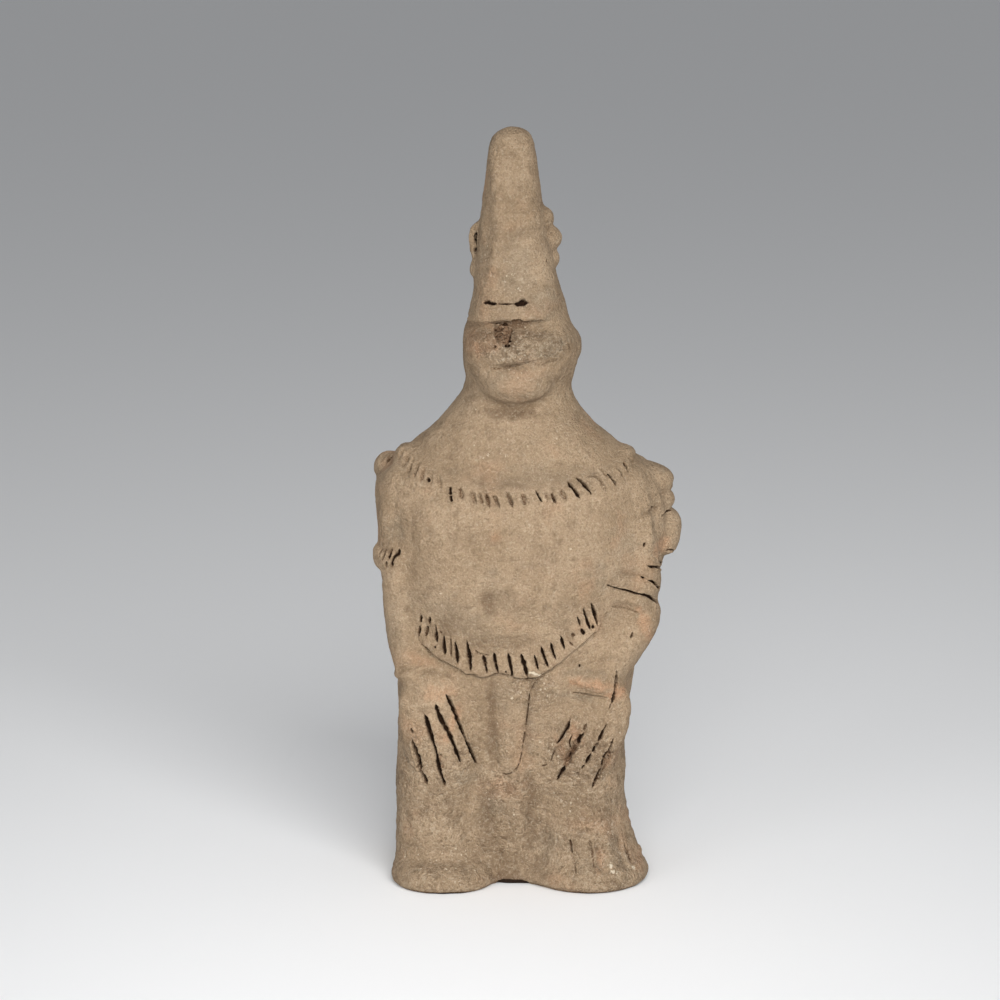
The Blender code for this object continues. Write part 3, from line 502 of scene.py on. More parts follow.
# Strokes of a finger or a round stick: (x, z) places, half width, and lift, under 0 for a valley.
STROKES = (
    # The head: its turned corner, the fold of the mouth, and the corners of the bowl-shaped chin.
    (((-12.5, 340), (-10.5, 321.5), (-9.5, 303.5), (-11, 290), (-14, 278.5)), 3, 0.9),
    (((-15.5, 330), (-15.5, 303), (-17.5, 284)), 3.2, -0.5),
    (((-19, 244.5), (-14, 242.5), (-9.5, 242.5), (-5, 243.5), (3, 245), (9, 246)), 1.5, -0.8),
    (((-19, 247.5), (-14, 245.5), (-7, 245.5), (0, 247), (8, 248.5)), 1.6, 0.6),
    (((-14, 237), (-4, 235), (8, 236.5)), 3.6, 0.6),
    (((-20, 230), (-9.5, 224.5), (-2.5, 223.5), (7, 226), (15, 230)), 2.4, -1.4),
    (((-24.5, 240.5), (-20, 243)), 1.5, -0.7), (((14.5, 262.5), (18.5, 257), (21, 252)), 1.7, -0.6),
    # The left arm: its edge against the belly, the folds at its elbow and wrist.
    (((-57.5, 186), (-57, 172), (-55, 162)), 3, -0.6),
    (((-53, 137), (-50.5, 125), (-48.5, 113.5), (-46, 107.5)), 2.6, -1.1),
    (((-57, 102), (-50, 105.5), (-43.5, 109.5)), 1.8, -1.5),
    (((-57.5, 99.5), (-50.5, 103.5), (-44.5, 106), (-38, 104)), 1.7, 1.2),
    (((-49, 99.5), (-40.5, 102), (-33.5, 100.5), (-29.5, 97)), 1.5, -0.9),
    # The right arm: the rings above its elbow, the bulge of the elbow and the band at its wrist.
    (((41, 155), (50, 155.5), (58, 153.5)), 1.2, -0.35), (((40.5, 156), (39.5, 150), (41, 142)), 1.3, -0.6),
    (((42.5, 148.5), (50, 147.5), (58.5, 145), (64, 140.5)), 1.2, -0.8),
    (((43, 151.5), (51, 151), (64, 146)), 1.6, 0.8),
    (((42, 145), (50, 144), (58, 141.5), (64, 136.5)), 1.7, 0.9),
    (((41, 137.5), (50, 136), (57.5, 134), (61, 130)), 2.2, 0.9),
    (((42, 134.5), (50, 132.5), (55.5, 130.5)), 1.1, -0.9),
    (((39, 131), (36.5, 124.5), (41, 117.5), (52, 112.5)), 2.2, -0.5),
    (((21, 99.5), (26, 99.5), (32, 97.5), (39, 95.5), (46, 94)), 2.1, 1.35),
    (((22, 95), (28, 94.5), (33, 93), (39.5, 91.5)), 2.4, -0.8),
    (((24.5, 103.5), (32, 103), (39.5, 100.5)), 2, -0.5), (((55, 174.5), (60, 175), (66, 176.5)), 1, -1.4),
    (((58, 186), (59.5, 176), (60, 166), (60.5, 158)), 2.6, 1.2),
    (((54.5, 182.5), (61, 181.5), (70, 182.5)), 1.7, -0.6),
    # The loin cloth between soft valleys, and the ridge between the legs.
    (((-13, 99), (-12.5, 80), (-12, 62), (-9.5, 54)), 2.2, -1.5),
    (((-5, 97), (-5, 76), (-5, 59)), 3.6, 0.8), (((0, 97), (-0.5, 84)), 1.3, -0.35),
    (((-16, 56), (-15, 36), (-12, 18), (-8, 3)), 3.2, -1.6), (((4.5, 58), (5.5, 38), (6, 16)), 2.8, -1.7),
    (((-9.5, 44), (-10.5, 34)), 2, 0.5),
    # Fingers stand up between their cuts, and so do the toes.
    (((-46, 79), (-42.5, 66), (-39.5, 52)), 1.5, 0.45), (((-41, 84.5), (-35, 69.5), (-31.5, 58)), 1.5, 0.5),
    (((-36.5, 90), (-28.5, 73), (-24, 60.5)), 1.5, 0.5), (((27.5, 80.5), (20.5, 68), (17, 58)), 1.5, 0.5),
    (((35, 78), (27.5, 63.5), (22.5, 54.5)), 1.6, 0.5), (((41, 74), (36, 64), (31.5, 54)), 1.5, 0.45),
    (((28.5, 26), (29, 17), (30.5, 8)), 2.4, 1.4), (((40, 28), (40.5, 18), (42.5, 8)), 3.4, 1.8),
    (((36.5, 27), (36, 18), (37.5, 9)), 1.1, -1), (((54, 22), (56.5, 12)), 2, 1),
    (((46, 27), (47, 18), (49.5, 9)), 1.6, -0.9),
)
# Round dabs: x, z, half width, half height, and lift, under 0 for a hollow.
DABS = (
    (-13.5, 137, 5.5, 5.5, -2.8), (-10, 134, 3.4, 3, 1.3), (-0.5, 143, 3.5, 3, 0.7), (-30, 125, 9, 5, -0.8),
    (18, 127, 9, 5, -0.8), (-50, 160, 3, 16, -0.7), (-56.5, 169, 4.5, 5.5, -0.7), (47, 170, 6, 9, -0.7),
    (41, 178, 6, 4, 0.4), (36, 152, 3.5, 10, -0.6), (-26, 150, 13, 12, 0.6), (14, 160, 14, 10, -0.5),
    (-8, 118.5, 20, 4.5, -1.2), (4, 207, 13, 8, 0.7), (-17, 213, 6, 5, -0.5), (-29, 94, 9, 5, 0.7),
    (-52, 92, 5, 5, -0.4), (12, 92, 6, 7, 0.6), (12.5, 63, 4, 9, -0.6), (20.5, 41.5, 3, 4, -0.7),
    (-6, 38, 5, 5, 0.5), (-6, 45.5, 2, 2, -0.5), (-39, 30, 9, 12, -0.4), (-38, 9, 16, 5, 0.5),
    (15, 22, 6, 9, -0.5), (-12, 262, 10, 3, -0.7), (6, 254, 8, 4, 0.5), (0, 281, 7, 8, 0.5),
    (25.5, 250, 4, 5, 0.5),
)
# Broken-out places: the outline as (x, z) places, and the depth.
BREAKS = (
    (((-12, 261), (-8, 262), (-5, 261.5), (-4, 258.5), (-4.5, 256), (-6, 252.5), (-8, 254.5), (-9.5, 255),
     (-11.5, 256.5)), 0.7),
    (((29, 74), (27.5, 70), (26.5, 67), (24.5, 63.5), (22.5, 59.5), (20, 56.5), (20, 61), (21.5, 64.5),
     (23.5, 68), (25, 71.5), (27, 74)), 1.1),
    (((41, 67), (43.5, 64), (42.5, 60), (41, 57.5), (38.5, 55), (38.5, 59.5), (40, 63)), 0.9),
    (((-39, 66), (-36.5, 64.5), (-35, 57.5), (-38.5, 57)), 1.1),
    (((-48, 57.5), (-46.5, 59.5), (-45.5, 55), (-44.5, 51.5), (-46.5, 53)), 0.9),
    (((-25, 69), (-23.5, 69), (-21, 62), (-22.5, 62.5)), 0.8),
)
# The brow's lower edge on the front, with a lit ledge above it and a hollow under it.
BROW_EDGE = (
    (-27, 261), (-24.5, 261.5), (-18.5, 262), (-13, 263), (-7, 264), (-1, 264), (4.5, 264.5), (9.5, 264),
    (14.5, 264),
)
# The grittiest places on the front: x, z, half width, half height, strength.
GRITTY = (
    (6, 252, 17, 9, 1), (-12, 254, 12, 8, 0.7), (28, 63, 20, 18, 0.9), (36, 14, 22, 16, 1),
    (6, 95, 14, 12, 0.7), (-30, 60, 18, 10, 0.5),
)
# Coloured patches on the front: x, z, half width, half height, strength and, for one that is not
# level, its turn in degrees.
PATCHES = {
    "rubbed": (
        (34, 97.5, 11, 2.6, 1, 10), (44.5, 93, 5, 3.4, 0.8), (28, 98.5, 6, 2, 1, 8), (-20, 253, 5, 6, 0.8),
        (58.5, 122, 2.6, 10, 0.6, -24), (66, 158, 4, 4, 0.6), (37.5, 15, 2.4, 5, 0.5), (56, 10, 3, 4, 0.5),
        (-31.5, 78, 2.2, 10, 0.7, 22), (26, 74, 3, 7, 0.7, -25), (20, 66, 2.4, 7, 0.6, -25),
        (-14, 254, 7, 5, 0.55), (-38, 93, 9, 4, 0.45, -12), (-46, 108, 8, 3, 0.35, 20),
        (-12, 168.5, 2, 2.4, 0.5), (-8, 46, 12, 6, 0.35),
    ),
    # Grey-green stains, and painted shade above the belt and along the right wrist's ridge.
    "stain_and_shade": (
        (14, 253, 9, 5, 0.55, -20), (10, 271, 9, 8, 0.5), (-1, 286, 8, 15, 0.45), (-16, 290, 2.5, 9, 0.45),
        (-57, 169, 5, 6, 0.55), (-12, 39, 5, 8, 0.7, 20), (14, 20, 7, 7, 0.5), (44, 24, 4, 6, 0.45),
        (30, 103, 9, 2.4, 0.55), (24, 92, 10, 2, 0.6, 5), (48, 165, 7, 9, 0.35), (37, 149, 3.5, 11, 0.5),
        (-24, 52, 8, 4, 0.4), (-8, 92, 5, 8, 0.3), (4.4, 72, 3, 16, 0.4), (-26, 128, 20, 10, 0.35, 30),
        (8, 194, 22, 5, 0.35), (-56, 124, 6, 16, 0.3), (-6, 252, 16, 8, 0.4), (-2, 236, 16, 7, 0.35),
    ),
    # Pale dust and specks, and painted highlights on the upper lip and forehead and a lit left foot.
    "dust_and_highlight": (
        (-2, 248, 9, 3, 0.7), (-3, 281, 6, 9, 0.5), (11, 96, 5, 7, 0.8), (12, 66, 5, 7, 0.7, -20),
        (44, 12, 9, 6, 0.9), (-12, 206, 9, 6, 0.4), (-38, 14, 20, 9, 0.4), (20, 40, 8, 7, 0.4),
        (6.5, 103.6, 3.4, 1, 2.2, 15), (-35.5, 141.5, 1.2, 1, 4), (42.5, 12.5, 0.8, 0.8, 2.8),
        (43, 10, 0.9, 0.7, 2.8), (53, 9, 0.9, 0.7, 2.8), (41, 13, 1.6, 0.7, 1.8),
        (-5, 247.5, 0.9, 0.6, 2.1), (-8, 247, 1.4, 0.8, 1.5), (1, 282.5, 0.9, 0.8, 2.6),
        (10, 68, 1.2, 1, 2),
    ),
    # Grime, and painted shade: under chin, brow and belt, in navel, arch and valleys, over belly and thighs.
    "grime_and_shade": (
        (-5, 4, 8, 4.5, 2), (-6, 257, 8.5, 6.5, 1), (-4, 262.8, 9.5, 2.2, 2, 4), (-9.5, 258.5, 3.6, 4, 1.6),
        (-5.5, 255.5, 2, 4.5, 1.9, -10), (-17, 256, 9, 6, 0.95), (-4, 32, 8, 16, 0.4), (3, 258, 6, 4, 0.6),
        (-3, 221.5, 13, 3, 1.2), (-18, 260.5, 7, 2.4, 0.7), (-3, 243, 10, 1.3, 0.9, 8),
        (-14.5, 137.5, 5, 5.5, 1.1), (-8, 139, 12, 8, 0.5), (-9, 193, 16, 4, 0.5), (-8, 118, 24, 4, 0.7),
        (-33, 124, 8, 6, 0.8, -40), (20, 126, 9, 4, 0.6, 40), (2, 193, 26, 4, 0.5), (-26, 168, 9, 9, 0.4),
        (3.5, 75, 2.2, 22, 0.7, 3), (-13, 76, 2.6, 24, 1.1), (22, 62, 5, 10, 0.8, -30),
        (36, 60, 4, 8, 0.6, -30), (-16, 30, 5, 22, 0.9), (6, 34, 4, 18, 0.9), (-36, 42, 12, 9, 0.5, 20),
        (30, 38, 12, 7, 0.5), (-6, 10, 12, 7, 0.6), (30, 20, 14, 4, 0.4), (12, 150, 30, 26, 0.2),
        (14, 84, 34, 18, 0.25),
    ),
}

CUT_STEP = 0.35
CUT_REACH = 2.2
# Where the rays start that lay a mark on the figure, in millimetres from its middle.
FAR = 200.0
# A gap wider than any other, for points that no mark is near.
WIDEST = 1e3
# Keeps a division from being by nothing.
TINY = 1e-12
# Points along each side of the noise's own repeating cube.
LATTICE = 48


def laid_on(surface, places, facing=FRONT):
    """The places of a mark, followed closely and laid on the front or the back of the surface.

    Each row is x, y, z and the share of the mark's width there, which is 1 where none is given.
    """
    rows = np.array(places, float)
    if rows.shape[1] < 3:
        rows = np.hstack([rows, np.ones((len(rows), 1))])
    path = smooth_path(rows, 8) if len(rows) > 2 else rows
    lengths = np.concatenate([[0.0], np.cumsum(np.linalg.norm(np.diff(path[:, :2], axis=0), axis=1))])
    stops = np.linspace(0.0, lengths[-1], max(int(lengths[-1] / CUT_STEP), 2) + 1)
    laid = []
    for x, z, share in zip(*(np.interp(stops, lengths, column) for column in path.T)):
        hit = surface.ray_cast(Vector((x, facing * FAR, z)), Vector((0.0, -facing, 0.0)))[0]
        if hit is not None:
            laid.append((*hit, share))
    return np.array(laid)


def aside_and_along(points, path):
    """How far each point is from a path, how far along it is, from 0 to 1, and the width share there."""
    starts, runs = path[:-1, :3], np.diff(path[:, :3], axis=0)
    lengths = np.linalg.norm(runs, axis=1)
    away = points[:, None] - starts
    share = np.clip((away * runs).sum(axis=2) / lengths**2, 0.0, 1.0)
    gaps = np.linalg.norm(away - share[..., None] * runs, axis=2)
    nearest = gaps.argmin(axis=1)
    rows = np.arange(len(points))
    before = np.concatenate([[0.0], np.cumsum(lengths)])
    along = (before[nearest] + share[rows, nearest] * lengths[nearest]) / before[-1]
    return gaps[rows, nearest], along, np.interp(along, before / before[-1], path[:, 3])


def near_box(points, path, reach):
    """Which points lie within reach of the box round a path."""
    low, high = path[:, :3].min(axis=0) - reach, path[:, :3].max(axis=0) + reach
    return np.flatnonzero(((points > low) & (points < high)).all(axis=1))


def lumpiness(points, cell, seed):
    """Smooth noise between -1 and 1 that changes over about one cell."""
    lattice = np.random.default_rng(seed).uniform(-1.0, 1.0, (LATTICE, LATTICE, LATTICE))
    place = points / cell
    corner = np.floor(place).astype(int)
    part = place - corner
    part = part * part * (3.0 - 2.0 * part)
    total = np.zeros(len(points))
    for step in np.ndindex(2, 2, 2):
        weight = np.prod(np.where(np.array(step) == 1, part, 1.0 - part), axis=1)
        x, y, z = ((corner + step) % LATTICE).T
        total += weight * lattice[x, y, z]
    return total


def reshaped(mesh, *modifiers):
    """A new mesh in place of the given one, after modifiers that are given as kind and settings."""
    holder = bpy.data.objects.new("reshaped", mesh)
    bpy.context.scene.collection.objects.link(holder)
    for kind, settings in modifiers:
        modifier = holder.modifiers.new(kind, kind)
        for name, value in settings.items():
            setattr(modifier, name, value)
    graph = bpy.context.evaluated_depsgraph_get()
    result = bpy.data.meshes.new_from_object(holder.evaluated_get(graph))
    bpy.data.objects.remove(holder, do_unlink=True)
    bpy.data.meshes.remove(mesh)
    return result


def fused(points, faces, voxel, strokes):
    """One skin over overlapping closed shapes, smoothed by a number of strokes; lengths in metres."""
    mesh = bpy.data.meshes.new("lumps")
    mesh.from_pydata(points, [], faces)
    fuse = ("REMESH", {"mode": "VOXEL", "voxel_size": voxel})
    return reshaped(mesh, fuse, ("SMOOTH", {"factor": 0.5, "iterations": strokes}))


def reduced(skin, budget):
    """The skin with its triangle count brought down to the budget, where it is flattest first."""
    count = sum(len(face.vertices) - 2 for face in skin.polygons)
    thin = {"ratio": min(1.0, budget / count), "use_collapse_triangulate": True}
    return reshaped(skin, ("DECIMATE", thin))


def standing(pile):
    """The pile's points in metres and its faces, cut off flat at the ground."""
    mesh = bpy.data.meshes.new("standing")
    mesh.from_pydata(pile.points, [], pile.faces)
    bm = bmesh.new()
    bm.from_mesh(mesh)
    bpy.data.meshes.remove(mesh)
    bmesh.ops.recalc_face_normals(bm, faces=bm.faces)
    everything = bm.verts[:] + bm.edges[:] + bm.faces[:]
    bmesh.ops.bisect_plane(bm, geom=everything, plane_co=(0, 0, 0), plane_no=(0, 0, 1), clear_inner=True)
    bmesh.ops.edgeloop_fill(bm, edges=[edge for edge in bm.edges if edge.is_boundary])
    bm.verts.index_update()
    points = [tuple(vert.co * MM) for vert in bm.verts]
    faces = [tuple(vert.index for vert in face.verts) for face in bm.faces]
    bm.free()
    return points, faces


def fired_skin(settings):
    """The figure's skin: soft body forms first, then the lumps that were pressed on to them."""
    soft = fused(*standing(soft_body()), settings.voxel, settings.softness)
    points = [tuple(vert.co) for vert in soft.vertices]
    faces = [tuple(face.vertices) for face in soft.polygons]
    more_points, more_faces = standing(pressed_on())
    faces += [tuple(corner + len(points) for corner in face) for face in more_faces]
    bpy.data.meshes.remove(soft)
    return fused(points + more_points, faces, settings.voxel, settings.pressing)


def vectors(mesh, name):
    """The coordinates or the normals of a mesh, one row for each point."""
    values = np.empty(len(mesh.vertices) * 3, np.float32)
    mesh.vertices.foreach_get(name, values)
    return values.reshape(-1, 3).astype(float)


def read_points(mesh):
    return vectors(mesh, "co") / MM


def read_normals(mesh):
    return vectors(mesh, "normal")


def write_points(mesh, points):
    """Moves the mesh's points. Returns the normals that they give it."""
    mesh.vertices.foreach_set("co", (points * MM).astype(np.float32).ravel())
    mesh.update()
    return read_normals(mesh)


def store(mesh, name, values):
    layer = mesh.attributes.new(name, "FLOAT", "POINT")
    layer.data.foreach_set("value", values.astype(np.float32))


def surface_of(mesh, points):
    faces = [tuple(face.vertices) for face in mesh.polygons]
    return BVHTree.FromPolygons([tuple(point) for point in points], faces)


def back_cuts():
    """The plainer marks of the back figure: even notches, fingers, toes, a slit eye and lips."""
    cuts = []
    for x in np.arange(-38.0, 38.1, 4.75):
        edge = float(belt_edge(x, BACK))
        cuts.append((((x, edge + 8.5), (x + 0.8, edge + 1.5)), 1.3, 2.4, 0.1))
    for x in np.arange(-46.0, 46.1, 5.1):
        line = float(collar_line(x))
        cuts.append((((x, line + 2.2), (x + 1.2, line - 2.2)), 1.2, 1.4, 0.2))
    for hand in (-1.0, 1.0):
        for finger in range(4):
            spread = 40.5 - 5.5 * finger
            top = (hand * spread, 77.0 + 2.0 * finger)
            tip = (hand * (spread - 7.0), 54.5 + 1.5 * finger)
            cuts.append(((top, tip), 1.6, 2.8, 0.2))
    flap = ((-9, 96), (-7.6, 74), (-5, 58), (2, 53), (9, 58), (11.6, 74), (13, 96))
    cuts.append((flap, 0.8, 1.2, 0.3))
    for foot in (-33.0, 31.0):
        for toe in (-6.0, 0.0, 6.0):
            cuts.append((((foot + toe, 22.0), (foot + toe * 1.2, 11.0)), 1.3, 1.0, 0.2))
    cuts.append((((-13, 272.3), (2, 272.8)), 1.3, 2.6, 0.0))
    cuts.append((((-17, 246.2), (-1, 243.8), (14, 246.2)), 1.4, 0.9, 0.0))
    return cuts


def all_marks(surface):
    """Every cut, laid on the surface: its path, width, depth, how broken it is, and its soil if given."""
    marks = []
    for table in (BELT_CUTS, COLLAR_CUTS, FINGER_CUTS, ARM_CUTS, FACE_CUTS, CRACKS):
        marks += [(laid_on(surface, places), *rest) for places, *rest in table]
    marks += [(laid_on(surface, places, BACK), *rest) for places, *rest in back_cuts()]
    for x, z, width, depth in HOLES:
        marks.append((laid_on(surface, ((x, z - 0.2), (x, z + 0.2))), width, depth, 0.0, 1.1))
    return [mark for mark in marks if len(mark[0]) > 1]


def closeness(points, marks, edges):
    """How far each point is from the nearest mark or edge line, as far as the reach of a cut."""
    gaps = np.full(len(points), WIDEST)
    for path in [mark[0] for mark in marks] + edges:
        rows = near_box(points, path, CUT_REACH * 1.5)
        if len(rows):
            gaps[rows] = np.minimum(gaps[rows], aside_and_along(points[rows], path)[0])
    return gaps


def refine(skin, marks, edges):
    """Splits the faces round the marks, twice, so that narrow cuts keep their steep walls."""
    for reach in (CUT_REACH, CUT_REACH * 0.7):
        bm = bmesh.new()
        bm.from_mesh(skin)
        close = closeness(read_points(skin), marks, edges) < reach
        chosen = [edge for edge in bm.edges if close[edge.verts[0].index] and close[edge.verts[1].index]]
        bmesh.ops.subdivide_edges(bm, edges=chosen, cuts=1, use_grid_fill=True)
        bm.to_mesh(skin)
        bm.free()


def carve(points, normals, marks):
    """Cuts every mark into the points. Returns how much soil each point holds."""
    soil_and_shade, sunk_here, burr = np.zeros((3, len(points)))
    rag = lumpiness(points, 0.7, 11) * 0.2 + lumpiness(points, 1.7, 12) * 0.2
    earthy = 0.85 + 0.45 * lumpiness(points, 1.9, 26)
    for number, (path, width, depth, broken, *given) in enumerate(marks):
        rows = near_box(points, path, width * 2.0 + 0.5)
        if not len(rows):
            continue
        gap, along, wide = aside_and_along(points[rows], path)
        length = np.linalg.norm(np.diff(path[:, :3], axis=0), axis=1).sum()
        taper = min(0.3, 2.2 / length)
        ends = smoothstep(0.0, taper, along) * smoothstep(1.0, 1.0 - taper, along)
        if length < 1.0:
            ends = np.ones(len(rows))
        # Each cut has its own beat along its length, which widens it and breaks it up.
        beat = lumpiness(np.stack([along * length, along * 0.0, along * 0.0 + number * 7.3], axis=1), 1.6, 13)
        whole = 1.0 - broken * smoothstep(-0.1, 0.45, beat)
        half = width * 0.56 * wide * (0.4 + 0.6 * ends) * (1.0 + 0.3 * beat)
        share = (gap + rag[rows] * min(1.0, width / 1.4)) / half
        sunk = depth * (0.2 + 0.8 * ends) * whole * smoothstep(1.25, 0.45, share)
        sunk_here[rows] = np.maximum(sunk_here[rows], sunk)
        holds = given[0] if given else smoothstep(1.0, 2.0, depth)
        dirt = holds * earthy[rows] * smoothstep(0.05, 0.45, sunk / depth)
        soil_and_shade[rows] = np.maximum(soil_and_shade[rows], dirt * smoothstep(1.25, 0.55, share))
        lifted = 0.5 * min(depth / 2.0, 1.0) * swell((share - 1.8) / 0.6) * ends * whole
        burr[rows] = np.maximum(burr[rows], lifted)
    points += normals * (burr * (sunk_here < 0.05) - sunk_here)[:, None]
    return soil_and_shade


def stroke(points, normals, surface):
    """Valleys and ridges drawn with a finger or a stick."""
    for places, width, lift in STROKES:
        path = laid_on(surface, places)
        if len(path) < 2:
            continue
        rows = near_box(points, path, width * 2.6)
        gap, along, _ = aside_and_along(points[rows], path)
        ends = smoothstep(0.0, 0.22, along) * smoothstep(1.0, 0.78, along)
        points[rows] += normals[rows] * (lift * ends * swell(gap / width))[:, None]


def inside_outline(x, z, outline):
    """How far inside a closed outline each place is, and under 0 outside it."""
    corners = np.array(outline)
    inside = np.zeros(len(x), bool)
    gap = np.full(len(x), WIDEST)
    for (x0, z0), (x1, z1) in zip(corners, np.roll(corners, -1, axis=0)):
        crosses = (z0 > z) != (z1 > z)
        inside ^= crosses & (x < (x1 - x0) * (z - z0) / (z1 - z0 + TINY) + x0)
        run = np.hypot(x1 - x0, z1 - z0)
        share = np.clip(((x - x0) * (x1 - x0) + (z - z0) * (z1 - z0)) / run**2, 0.0, 1.0)
        gap = np.minimum(gap, np.hypot(x - x0 - share * (x1 - x0), z - z0 - share * (z1 - z0)))
    return np.where(inside, gap, -gap)


def away_from(points, x, z, wide, high, turn=0.0):
    """How far each point is from (x, z) as seen from the front, where 1 is the edge of an oval."""
    dx, dz = points[:, 0] - x, points[:, 2] - z
    c, s = math.cos(math.radians(turn)), math.sin(math.radians(turn))
    return np.hypot((dx * c - dz * s) / wide, (dx * s + dz * c) / high)


def facing_share(points, normals, facing=FRONT):
    """1 on surfaces that look to the front or the back, and 0 round the sides."""
    return smoothstep(0.0, 0.25, facing * normals[:, 1]) * (facing * points[:, 1] > 0.0)


def break_out(points, normals):
    """Rough places where the skin has come away. Returns how much of the raw clay shows."""
    raw = np.zeros(len(points))
    front = facing_share(points, normals)
    torn = lumpiness(points, 1.1, 14) * 0.5 + lumpiness(points, 2.3, 15) * 0.4
    for outline, depth in BREAKS:
        low, high = np.min(outline, axis=0) - 2.0, np.max(outline, axis=0) + 2.0
        flat = points[:, (0, 2)]
        rows = np.flatnonzero(((flat > low) & (flat < high)).all(axis=1) & (front > 0.0))
        within = inside_outline(flat[rows, 0], flat[rows, 1], outline) + torn[rows]
        share = smoothstep(-0.3, 0.7, within) * front[rows]
        raw[rows] = np.maximum(raw[rows], share)
        points[rows] -= normals[rows] * (share * (depth + torn[rows] * 0.7))[:, None]
    return raw


def step_edge(points, normals, facing, height, span, blunt, lift, fade, hollow, reach):
    """A ledge whose lower edge follows height(x): proud above it and hollow under it.

    The span is (left start, left full, right full, right end), and blunt is half the width over which
    the edge turns. Returns a mask of a thin line just under the edge, where shadow is painted dark.
    """
    x, z = points[:, 0], points[:, 2]
    above = z - height(x) + lumpiness(points, 1.6, 16) * 0.3 + lumpiness(points, 4.0, 27) * 0.4
    sideways = smoothstep(span[0], span[1], x) * smoothstep(span[3], span[2], x)
    ledge = lift * smoothstep(-blunt, blunt, above) * smoothstep(fade, fade * 0.15, above)
    under = hollow * smoothstep(blunt, -blunt, above) * smoothstep(-reach, -reach * 0.1, above)
    share = facing_share(points, normals, facing) * sideways
    points += normals * (share * (ledge - under))[:, None]
    return share * swell((above + 0.7) / 0.7) * (0.75 + 0.5 * lumpiness(points, 4.0, 19))


def raise_belt(points, normals, facing):
    """The belt strip, proud at its torn lower edge and fading upwards into the belly."""
    span = (-49.0, -38.0, 33.0, 40.0) if facing == FRONT else (-45.0, -38.0, 35.0, 41.0)
    # The returned mask is the shadow painted just under the strip's lower edge.
    return step_edge(
        points, normals, facing, lambda x: belt_edge(x, facing), span,
        blunt=0.2, lift=2.6, fade=9.0, hollow=1.5, reach=2.4,
    )


def raise_brow(points, normals, facing):
    """The ledge under the eye slit and the hollow where the nose has gone."""
    step_edge(
        points, normals, facing, lambda x: np.interp(x, *np.transpose(BROW_EDGE)), (-27.5, -23.0, 8.0, 15.0),
        blunt=1.3, lift=1.1, fade=8.0, hollow=1.7, reach=10.0,
    )


def raise_collar(points, normals, facing):
    """The collar: a low soft roll along the edge of the chest, with a shallow valley over it."""
    x, z = points[:, 0], points[:, 2]
    across = (z - collar_line(x)) / 3.8
    sideways = smoothstep(-60.0, -52.0, x) * smoothstep(56.0, 50.0, x)
    lift = swell(across) - 0.35 * swell(across - 2.2)
    points += normals * (lift * sideways * facing_share(points, normals, facing))[:, None]


def dab(points, normals):
    """Broad round hollows and lumps: the navel, thumbed patches and the tops of the hands."""
    front = facing_share(points, normals)
    for *oval, lift in DABS:
        away = away_from(points, *oval)
        rows = np.flatnonzero(away < 2.5)
        points[rows] += normals[rows] * (lift * swell(away[rows]) * front[rows])[:, None]


def undercut(points, normals):
    """The rounded rim above the ground: the clay draws in just before it meets the floor."""
    level = normals * (1.0, 1.0, 0.0)
    length = np.linalg.norm(level, axis=1, keepdims=True)
    inward = -level / np.maximum(length, TINY) * smoothstep(0.2, 0.7, length)
    rim = smoothstep(2.4, 0.2, points[:, 2]) * (1.2 + 1.0 * lumpiness(points, 9.0, 17))
    points += inward * rim[:, None]


def arch_height(x):
    """How high the small arch between the front feet is at x."""
    return 3.3 * np.sqrt(np.clip(1.0 - ((x + 3.2) / 7.8) ** 2, 0.0, 1.0))


def cut_arch(points, normals):
    """The clay bridges the gap between the front feet and leaves a dark hollow under a small arch.

    Returns how deep in the hollow each point lies, on faces that look down: the shadow painted there.
    """
    x, y, z = points.T
    ahead = smoothstep(-14.0, -20.0, y)
    bridge = smoothstep(1.0, 0.2, abs(x + 1.0) / 16.0) * smoothstep(12.0, 5.0, z) * ahead
    hollow = smoothstep(0.4, -0.4, z - arch_height(x)) * ahead * (arch_height(x) > 0.2)
    points[:, 1] = y - 3.4 * bridge + 1.3 * hollow
    return hollow * smoothstep(0.3, -0.1, normals[:, 2])


def gritty(points, normals):
    """How gritty each point is, from 0 to 1: the legs and feet above all."""
    found = 0.25 + 0.55 * smoothstep(95.0, 50.0, points[:, 2]) * (0.75 + 0.5 * lumpiness(points, 12.0, 18))
    front = facing_share(points, normals)
    for *oval, strength in GRITTY:
        found = np.maximum(found, strength * smoothstep(1.3, 0.5, away_from(points, *oval)) * front)
    return np.clip(found, 0.0, 1.0)


def roughen(points, normals, unevenness):
    """Uneven clay: broad thumbed hollows, smaller lumps and a sandy skin."""
    thumbed = lumpiness(points, 17.0, 21) * 0.5 + lumpiness(points, 8.0, 22) * 0.34
    grit = lumpiness(points, 4.2, 23) * 0.24 + lumpiness(points, 2.1, 24) * 0.24
    rough = thumbed + grit * (0.45 + 1.4 * gritty(points, normals))
    points += normals * (rough * smoothstep(0.0, 4.0, points[:, 2]) * unevenness)[:, None]


def patches(points, normals):
    """How strong each kind of patch is at each point: listed places in front, scattered ones all round."""
    front = facing_share(points, normals)
    torn = lumpiness(points, 3.0, 31) * 0.45 + lumpiness(points, 1.3, 32) * 0.35
    found = {}
    for number, (kind, rows) in enumerate(PATCHES.items()):
        scattered = lumpiness(points, 15.0, 40 + number) + lumpiness(points, 6.0, 50 + number) * 0.6
        shares = smoothstep(0.35, 1.1, scattered + torn * 0.4) * (1.0 - 0.6 * front) * 0.7
        for x, z, wide, high, strength, *turn in rows:
            away = away_from(points, x, z, wide, high, *turn)
            shares = np.maximum(shares, strength * smoothstep(1.35, 0.35, away + torn) * front)
        found[kind] = shares
    return found


